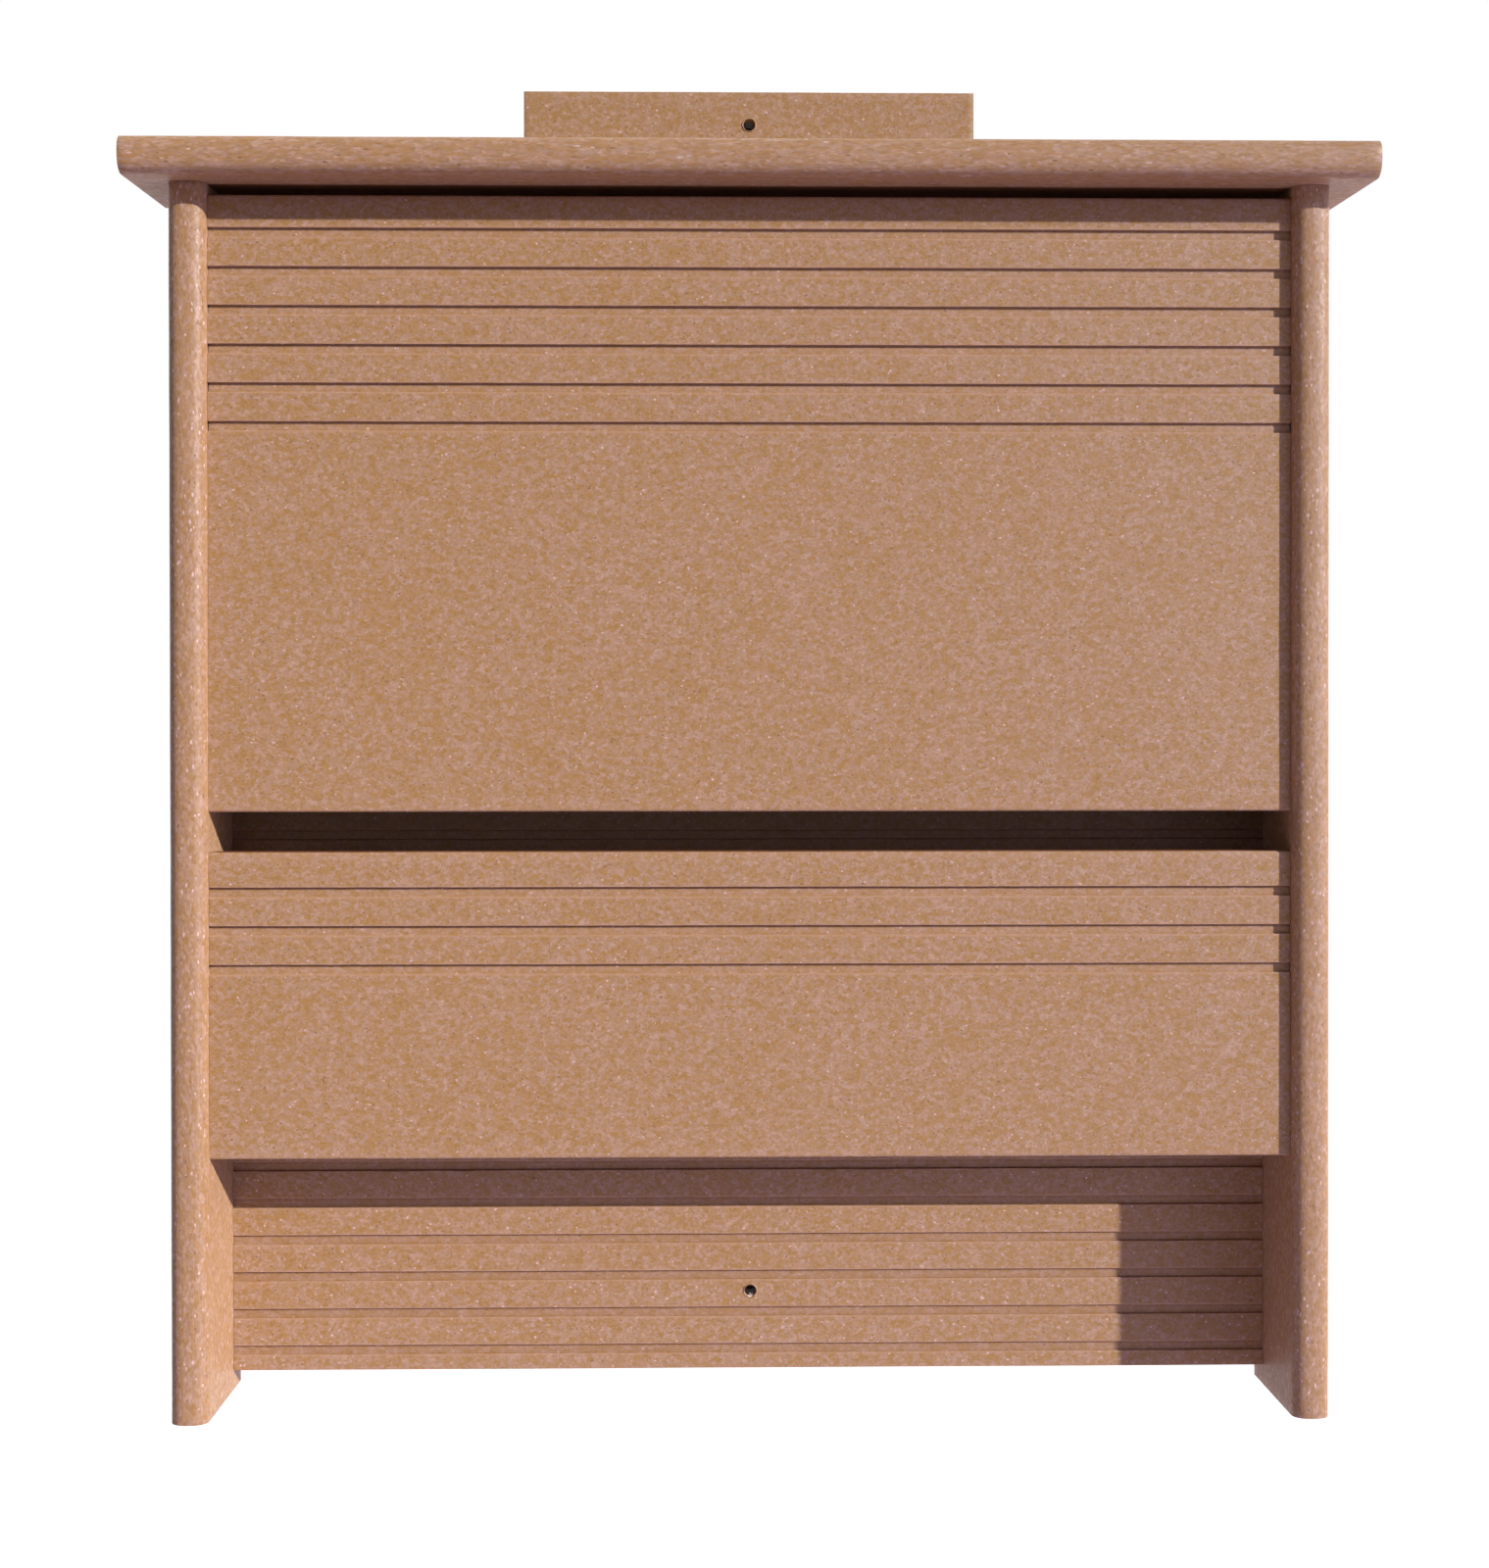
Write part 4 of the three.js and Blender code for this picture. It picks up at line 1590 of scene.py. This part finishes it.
@dataclass
class RoofBoard(Board):
    """The sloping roof, both long edges rounded, notched at the rear for the hanger tab.

    Attributes:
        slope: Its slope.
        board_thickness: Its thickness.
        tab_width: The width of the tab that the notch takes.
        tab_front: The depth of the tab's face in the frame.
        roost_front: The depth of the roost's front in the frame.
        roost_width: The width of the roost.
        roost_shade: How much painted shade lies on the underside inside the roost, from 0 to 1.
        under_shade: How much painted shade lies on the underside of the front edge.
        clearance: The room left round the tab.
        shade_edge: How sharply the roost's painted shade starts and stops.
    """

    slope: float = 0.0
    board_thickness: float = 0.0
    tab_width: float = 201.5 * MM
    tab_front: float = 0.0
    roost_front: float = 0.0
    roost_width: float = 0.0
    roost_shade: float = 0.85
    under_shade: float = 0.24
    clearance: float = 0.6 * MM
    shade_edge: float = 1 * MM

    def __post_init__(self) -> None:
        """Finds the tips of the two edges from the box, which the edges' arcs touch."""
        super().__post_init__()
        self.edge = RoundedEdge(self.board_thickness)
        cosine, sine = math.cos(self.slope), math.sin(self.slope)
        inset = self.edge.crown * (1 - cosine)
        drop = self.edge.corner - self.edge.depth * sine + self.edge.shoulder * cosine
        self.front = Vector((self.low.y + inset, self.low.z + drop))
        rear = Vector((self.high.y - inset, self.high.z - drop))
        self.run = (rear - self.front).length

    def shade_spread(self, shares: np.ndarray) -> np.ndarray:
        """All of the painted shade over the roost, fading out over the side boards."""
        beyond = np.abs(self.low.x + shares * self.length()) - self.roost_width / 2
        return np.clip(1 - beyond / self.board_thickness, 0, 1)

    def shade_paint(self, along: float, roost: float, back: float) -> float:
        """How much painted shade lies on the underside at a distance behind the front edge's tip.

        Args:
            along: The distance.
            roost: Where the roost starts.
            back: Where it ends.

        Returns:
            From 0 to 1, the most inside the roost.
        """
        if along > back:
            return 0.0
        if along >= roost:
            return self.roost_shade
        return self.under_shade * min(along / self.edge.depth, 1.0)

    def rungs(self) -> list[Rung]:
        """The cross-section.

        Returns:
            Its rungs from the front edge's tip to the rear one's.
        """
        front = self.edge.half()
        rear = [(self.run - along, up) for along, up in reversed(front)]
        mouth, roost, back = (
            (depth - self.front.x) / math.cos(self.slope)
            for depth in (self.roost_front, self.roost_front + self.shade_edge, self.tab_front)
        )
        wall, last = back + self.shade_edge, self.run - self.edge.depth
        between = evenly(self.edge.depth, mouth, self.row)
        inside = [roost, *evenly(roost, back, self.row), back]
        behind = evenly(wall, last, self.row) if wall < last else []
        flat = [(along, self.board_thickness / 2) for along in [*between, mouth, *inside, *behind]]
        return [
            # The underside's points carry painted shade.
            Rung((along, up), (along, -up), painted_shade_behind=self.shade_paint(along, roost, back))
            for along, up in [*front, *flat, *rear]
        ]

    def place(self, shares: np.ndarray, section: np.ndarray) -> np.ndarray:
        """Tips the section to the roof's slope and sweeps it from left to right.

        Args:
            shares: Shares of the width, one for each station.
            section: The section's points at each station.

        Returns:
            Their places as X, Y and Z.
        """
        along, up = section[..., 0], section[..., 1]
        cosine, sine = math.cos(self.slope), math.sin(self.slope)
        depth = self.front.x + along * cosine - up * sine
        height = self.front.y + along * sine + up * cosine
        return np.stack([self.across(shares, section), depth, height], axis=2)

    def machine(self, piece: Piece) -> None:
        """Saws the notch for the hanger tab.

        Args:
            piece: The roof.
        """
        reach = 20 * MM
        half = self.tab_width / 2 + self.clearance
        front = self.tab_front - self.clearance
        corners = [(-half, front), (half, front), (half, reach), (-half, reach)]
        ends = [
            np.array([(*corner, height) for corner in corners])
            for height in (self.low.z - reach, self.high.z + reach)
        ]
        combine(piece, [link("notch", ringed_mesh("notch", ends))], Solid.CUT)


@dataclass
class Studio:
    """A plain pale studio with a key light, a soft room light and two helpers, and the camera.

    Attributes:
        eye: Where the camera stands.
        light_path: The way the key light travels.
        fill_lean: The way in which the room is brighter, its length the share by which it is.
        turn_degrees: How far the camera looks to the right of straight ahead.
        dip_degrees: How far it looks down.
        roll_degrees: How far it leans.
        focal_px: Its focal length in pixels of the photograph.
        photo_height_px: The photograph's height in pixels.
        light_width_degrees: How wide the key lamp looks from the box.
        key: How brightly it lights a face square to it, where 1 shows a colour as written.
        rear_path: The way the light of the soft lamp behind the box travels.
        rear_width_degrees: How wide that lamp looks from the box.
        rear: How brightly it lights the box's rear.
        fill: How brightly the room lights a face, averaged over all directions.
        fill_tint: The room light's colour.
        window_at: Where the middle of a soft side light hangs.
        window_size: Its width and height.
        window_glow: How bright its face is, where a white floor in full light is 1.
        window_tint: Its colour.
        paper: The backdrop paper's colour as it is seen.
        paper_bounce: Its colour to the light that it throws back on the box.
        paper_glow: How much light the paper adds of its own where it is seen.
        floor_drop: How far the floor lies under the box.
        floor_size: The floor's width and depth.
        sensor: The height of the camera's sensor in millimetres.
    """

    eye: Vector
    light_path: Vector
    fill_lean: Vector
    turn_degrees: float = 1.009
    dip_degrees: float = 0.418
    roll_degrees: float = 0.054
    focal_px: float = 2238.9
    photo_height_px: int = 1600
    light_width_degrees: float = 1.2
    key: float = 1.36
    rear_path: Vector = field(default_factory=lambda: Vector((0, -1, -0.14)))
    rear_width_degrees: float = 6.0
    rear: float = 0.45
    fill: float = 0.25
    fill_tint: str = "e8cfff"
    window_at: Vector = field(default_factory=lambda: Vector((620, -420, 0)) * MM)
    window_size: Point = (300 * MM, 1000 * MM)
    window_glow: float = 1.3
    window_tint: str = "b4c4ff"
    paper: str = "c4c4c2"
    paper_bounce: str = "f0dcff"
    paper_glow: float = 0.75
    floor_drop: float = 350 * MM
    floor_size: float = 2.6
    sensor: float = 36.0

    def camera(self) -> None:
        """Sets the camera where the photograph was taken from."""
        data = bpy.data.cameras.new("camera")
        data.sensor_width = self.sensor
        data.lens = self.focal_px / self.photo_height_px * self.sensor
        data.clip_start = 10 * MM
        camera = link("camera", data)
        camera.location = self.eye
        turns = (90 - self.dip_degrees, self.roll_degrees, -self.turn_degrees)
        camera.rotation_euler = [math.radians(turn) for turn in turns]
        bpy.context.scene.camera = camera

    def lamp(self, name: str, path: Vector, strength: float, width: float) -> None:
        """Sets a far lamp.

        Args:
            name: The lamp's name.
            path: The way its light travels.
            strength: How brightly it lights a face square to it.
            width: How wide it looks, in degrees.
        """
        data = bpy.data.lights.new(name, "SUN")
        data.energy = strength * math.pi
        data.angle = math.radians(width)
        link(name, data).rotation_euler = path.to_track_quat("-Z", "Y").to_euler()

    def window(self) -> None:
        """Hangs the soft side light, turned to the box."""
        data = bpy.data.lights.new("window", "AREA")
        data.shape = "RECTANGLE"
        data.size, data.size_y = self.window_size
        data.energy = self.window_glow * math.pi * data.size * data.size_y
        data.color = linear_colour(self.window_tint)[:3]
        lamp = link("window", data)
        lamp.location = self.window_at
        lamp.rotation_euler = (-self.window_at).to_track_quat("-Z", "Y").to_euler()

    def seen(self, tree: Tree) -> Node:
        """Tells what is seen from what only lights the box.

        Args:
            tree: A material's or the world's node tree.

        Returns:
            1 for a ray from the camera, off a glossy face or through glass, otherwise 0.
        """
        ray = add_node(tree, "ShaderNodeLightPath")
        either = ray.outputs["Is Camera Ray"]
        for other in ("Is Glossy Ray", "Is Transmission Ray"):
            rays = {0: either, 1: ray.outputs[other]}
            either = add_node(tree, "ShaderNodeMath", {"operation": "MAXIMUM"}, rays)
        return either

    def room(self) -> None:
        """Lights the room softly, and shows it white to the camera and in reflections."""
        world = bpy.data.worlds.new("room")
        world.use_nodes = True
        tree = world.node_tree
        tree.nodes.clear()
        way = add_node(tree, "ShaderNodeTexCoord").outputs["Generated"]
        towards = {"operation": "DOT_PRODUCT", 1: self.fill_lean}
        lean = add_node(tree, "ShaderNodeVectorMath", towards, {0: way}).outputs["Value"]
        leaning = {"operation": "MULTIPLY_ADD", 1: self.fill, 2: self.fill}
        strength = add_node(tree, "ShaderNodeMath", leaning, {0: lean})
        tint = {"Color": linear_colour(self.fill_tint)}
        soft = add_node(tree, "ShaderNodeBackground", tint, {"Strength": strength})
        white = add_node(tree, "ShaderNodeBackground", {"Color": linear_colour("ffffff")})
        shown = {0: self.seen(tree), 1: soft, 2: white}
        light = add_node(tree, "ShaderNodeMixShader", links=shown)
        add_node(tree, "ShaderNodeOutputWorld", links={"Surface": light})
        bpy.context.scene.world = world

    def floor(self, foot: float) -> None:
        """Lays a pale floor under the hanging box.

        Args:
            foot: The height of the box's lowest point.
        """
        half = self.floor_size / 2
        level = foot - self.floor_drop
        mesh = bpy.data.meshes.new("floor")
        corners = [(-half, -half), (half, -half), (half, half), (-half, half)]
        mesh.from_pydata([(*corner, level) for corner in corners], [], [(0, 1, 2, 3)])
        material = new_material("Paper backdrop, matt white")
        tree = material.node_tree
        seen = self.seen(tree)
        glow = add_node(
            tree, "ShaderNodeMath", {"operation": "MULTIPLY", 1: self.paper_glow}, {0: seen}
        )
        bounce, paper = linear_colour(self.paper_bounce), linear_colour(self.paper)
        sheet = {"data_type": "RGBA", MIX_A: bounce, MIX_B: paper}
        colour = add_node(tree, "ShaderNodeMix", sheet, {MIX_FACTOR: seen}).outputs[MIX_RESULT]
        white = linear_colour("ffffff")
        shader = add_node(
            tree,
            "ShaderNodeBsdfPrincipled",
            {"Roughness": 0.9, "Specular IOR Level": 0.1, "Emission Color": white},
            {"Base Color": colour, "Emission Strength": glow},
        )
        add_node(tree, "ShaderNodeOutputMaterial", links={"Surface": shader})
        mesh.materials.append(material)
        floor = link("floor", mesh)

    def build(self, foot: float) -> None:
        """Sets the camera, the light, the room and the floor.

        Args:
            foot: The height of the box's lowest point.
        """
        self.camera()
        self.lamp("key", self.light_path, self.key, self.light_width_degrees)
        self.lamp("rear", self.rear_path, self.rear, self.rear_width_degrees)
        self.window()
        self.room()
        self.floor(foot)
        bpy.context.scene.view_settings.view_transform = "Standard"


def roof_slope() -> float:
    """The slope of the row of screws that runs down the roof.

    Returns:
        The roof's slope in radians.
    """
    low_screw, high_screw = (
        (low + high) / 2 for low, high in (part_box(f"roof_screw_left_{row}") for row in (1, 2))
    )
    return math.atan2(high_screw.z - low_screw.z, high_screw.y - low_screw.y)


def report(piece: Piece) -> None:
    """Logs one piece's name and how many faces it has."""
    log.info("%s: %d faces", piece.name, len(piece.data.polygons))


def main() -> None:
    """Builds the studio, the finishes, the screws and then the boards round their holes."""
    logging.basicConfig(level=logging.INFO, format="%(message)s")
    studio = Studio(
        eye=Vector((-19.7, -1001.3, -26.5)) * MM,
        light_path=Vector((-0.7355, 0.5688, -0.3680)),
        fill_lean=Vector((0.65, 0.7, 0.0)),
    )
    studio.build(foot=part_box("left_side")[0].z)

    sheet = FleckedPolyethylene("HDPE sheet, extruded", Grain.ACROSS, drawn=1.2, streak=0.1)
    routed = FleckedPolyethylene("HDPE, routed", Grain.ACROSS, drawn=1.4, streak=0.2, saw=0.2)
    stock = {"ochre": "a97d4c", "tan": "ad8255", "fleck_mm": 1.35, "grit": 0.11}
    # More chips on the upright lumber, partly painted glints.
    upright = FleckedPolyethylene(
        "HDPE lumber, extruded upright", Grain.UPRIGHT, drawn=1.9, streak=0.3, chips_and_glints=0.028, **stock
    )
    level = FleckedPolyethylene(
        "HDPE lumber, extruded level", Grain.ACROSS, drawn=2.8, streak=0.35, chips_and_glints=0.01, **stock
    )
    sawn = FleckedPolyethylene("HDPE, sawn", Grain.ACROSS, drawn=1.0, streak=0.0, saw=0.6)
    steel = ColdHeadedSteel("Stainless steel, cold headed")
    sheet_skin, routed_face, upright_skin, level_skin, sawn_face = (
        finish.build() for finish in (sheet, routed, upright, level, sawn)
    )

    slope = roof_slope()
    fixings = Fixings(Screw(), slope, steel.build())
    for screw in fixings.build():
        report(screw)

    back_low, back_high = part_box("back_panel")
    _, side_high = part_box("left_side")
    seat = 0.3 * MM
    sheet_rest = {
        "slot": "grooved_sheet",
        "skin": sheet_skin,
        "sawn": routed_face,
        "fixings": fixings,
        "fray": 0.07 * MM,
    }
    lumber_rest = {
        "slot": "bullnosed_board",
        "sawn": sawn_face,
        "fixings": fixings,
        "spacing": 4 * MM,
        "slope": slope,
        "easing": 0.3 * MM,
    }
    boards: list[Board] = [
        GroovedSheet(
            node="upper_front_panel",
            spacing=2 * MM,
            uneven=Unevenness(depth=0.12 * MM, longest=210 * MM, seed=1),
            grooves=6,
            top_drop=16 * MM,
            # Painted shade under the eaves.
            eaves_shade=0.28,
            **sheet_rest,
        ),
        GroovedSheet(
            node="lower_front_panel",
            spacing=2 * MM,
            uneven=Unevenness(depth=0.12 * MM, longest=190 * MM, seed=2),
            grooves=3,
            top_drop=17.2 * MM,
            **sheet_rest,
        ),
        BackSheet(
            node="back_panel",
            spacing=3 * MM,
            uneven=Unevenness(depth=0.12 * MM, longest=230 * MM, seed=3),
            groove_depth=1.2 * MM,
            # Painted shade in the grooves' upper corners and on their floors.
            painted_shade=0.35,
            floor_shade=0.14,
            top_shade=0.0,
            panel_easing=0.3 * MM,
            shoulder=side_high.z + back_low.y * math.tan(slope) + seat,
            entrance=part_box("lower_front_panel")[0].z,
            **sheet_rest,
        ),
        *(
            SideBoard(
                node=node,
                seat=seat,
                skin=upright_skin,
                uneven=Unevenness(depth=0.16 * MM, longest=170 * MM, seed=seed),
                **lumber_rest,
            )
            for node, seed in (("left_side", 4), ("right_side", 5))
        ),
        RoofBoard(
            node="roof",
            skin=level_skin,
            uneven=Unevenness(depth=0.18 * MM, longest=180 * MM, seed=6),
            board_thickness=back_high.y - back_low.y,
            tab_front=back_low.y,
            roost_front=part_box("upper_front_panel")[0].y,
            roost_width=2 * back_high.x,
            **lumber_rest,
        ),
    ]
    for board in boards:
        report(board.build())


if __name__ == "__main__":
    main()
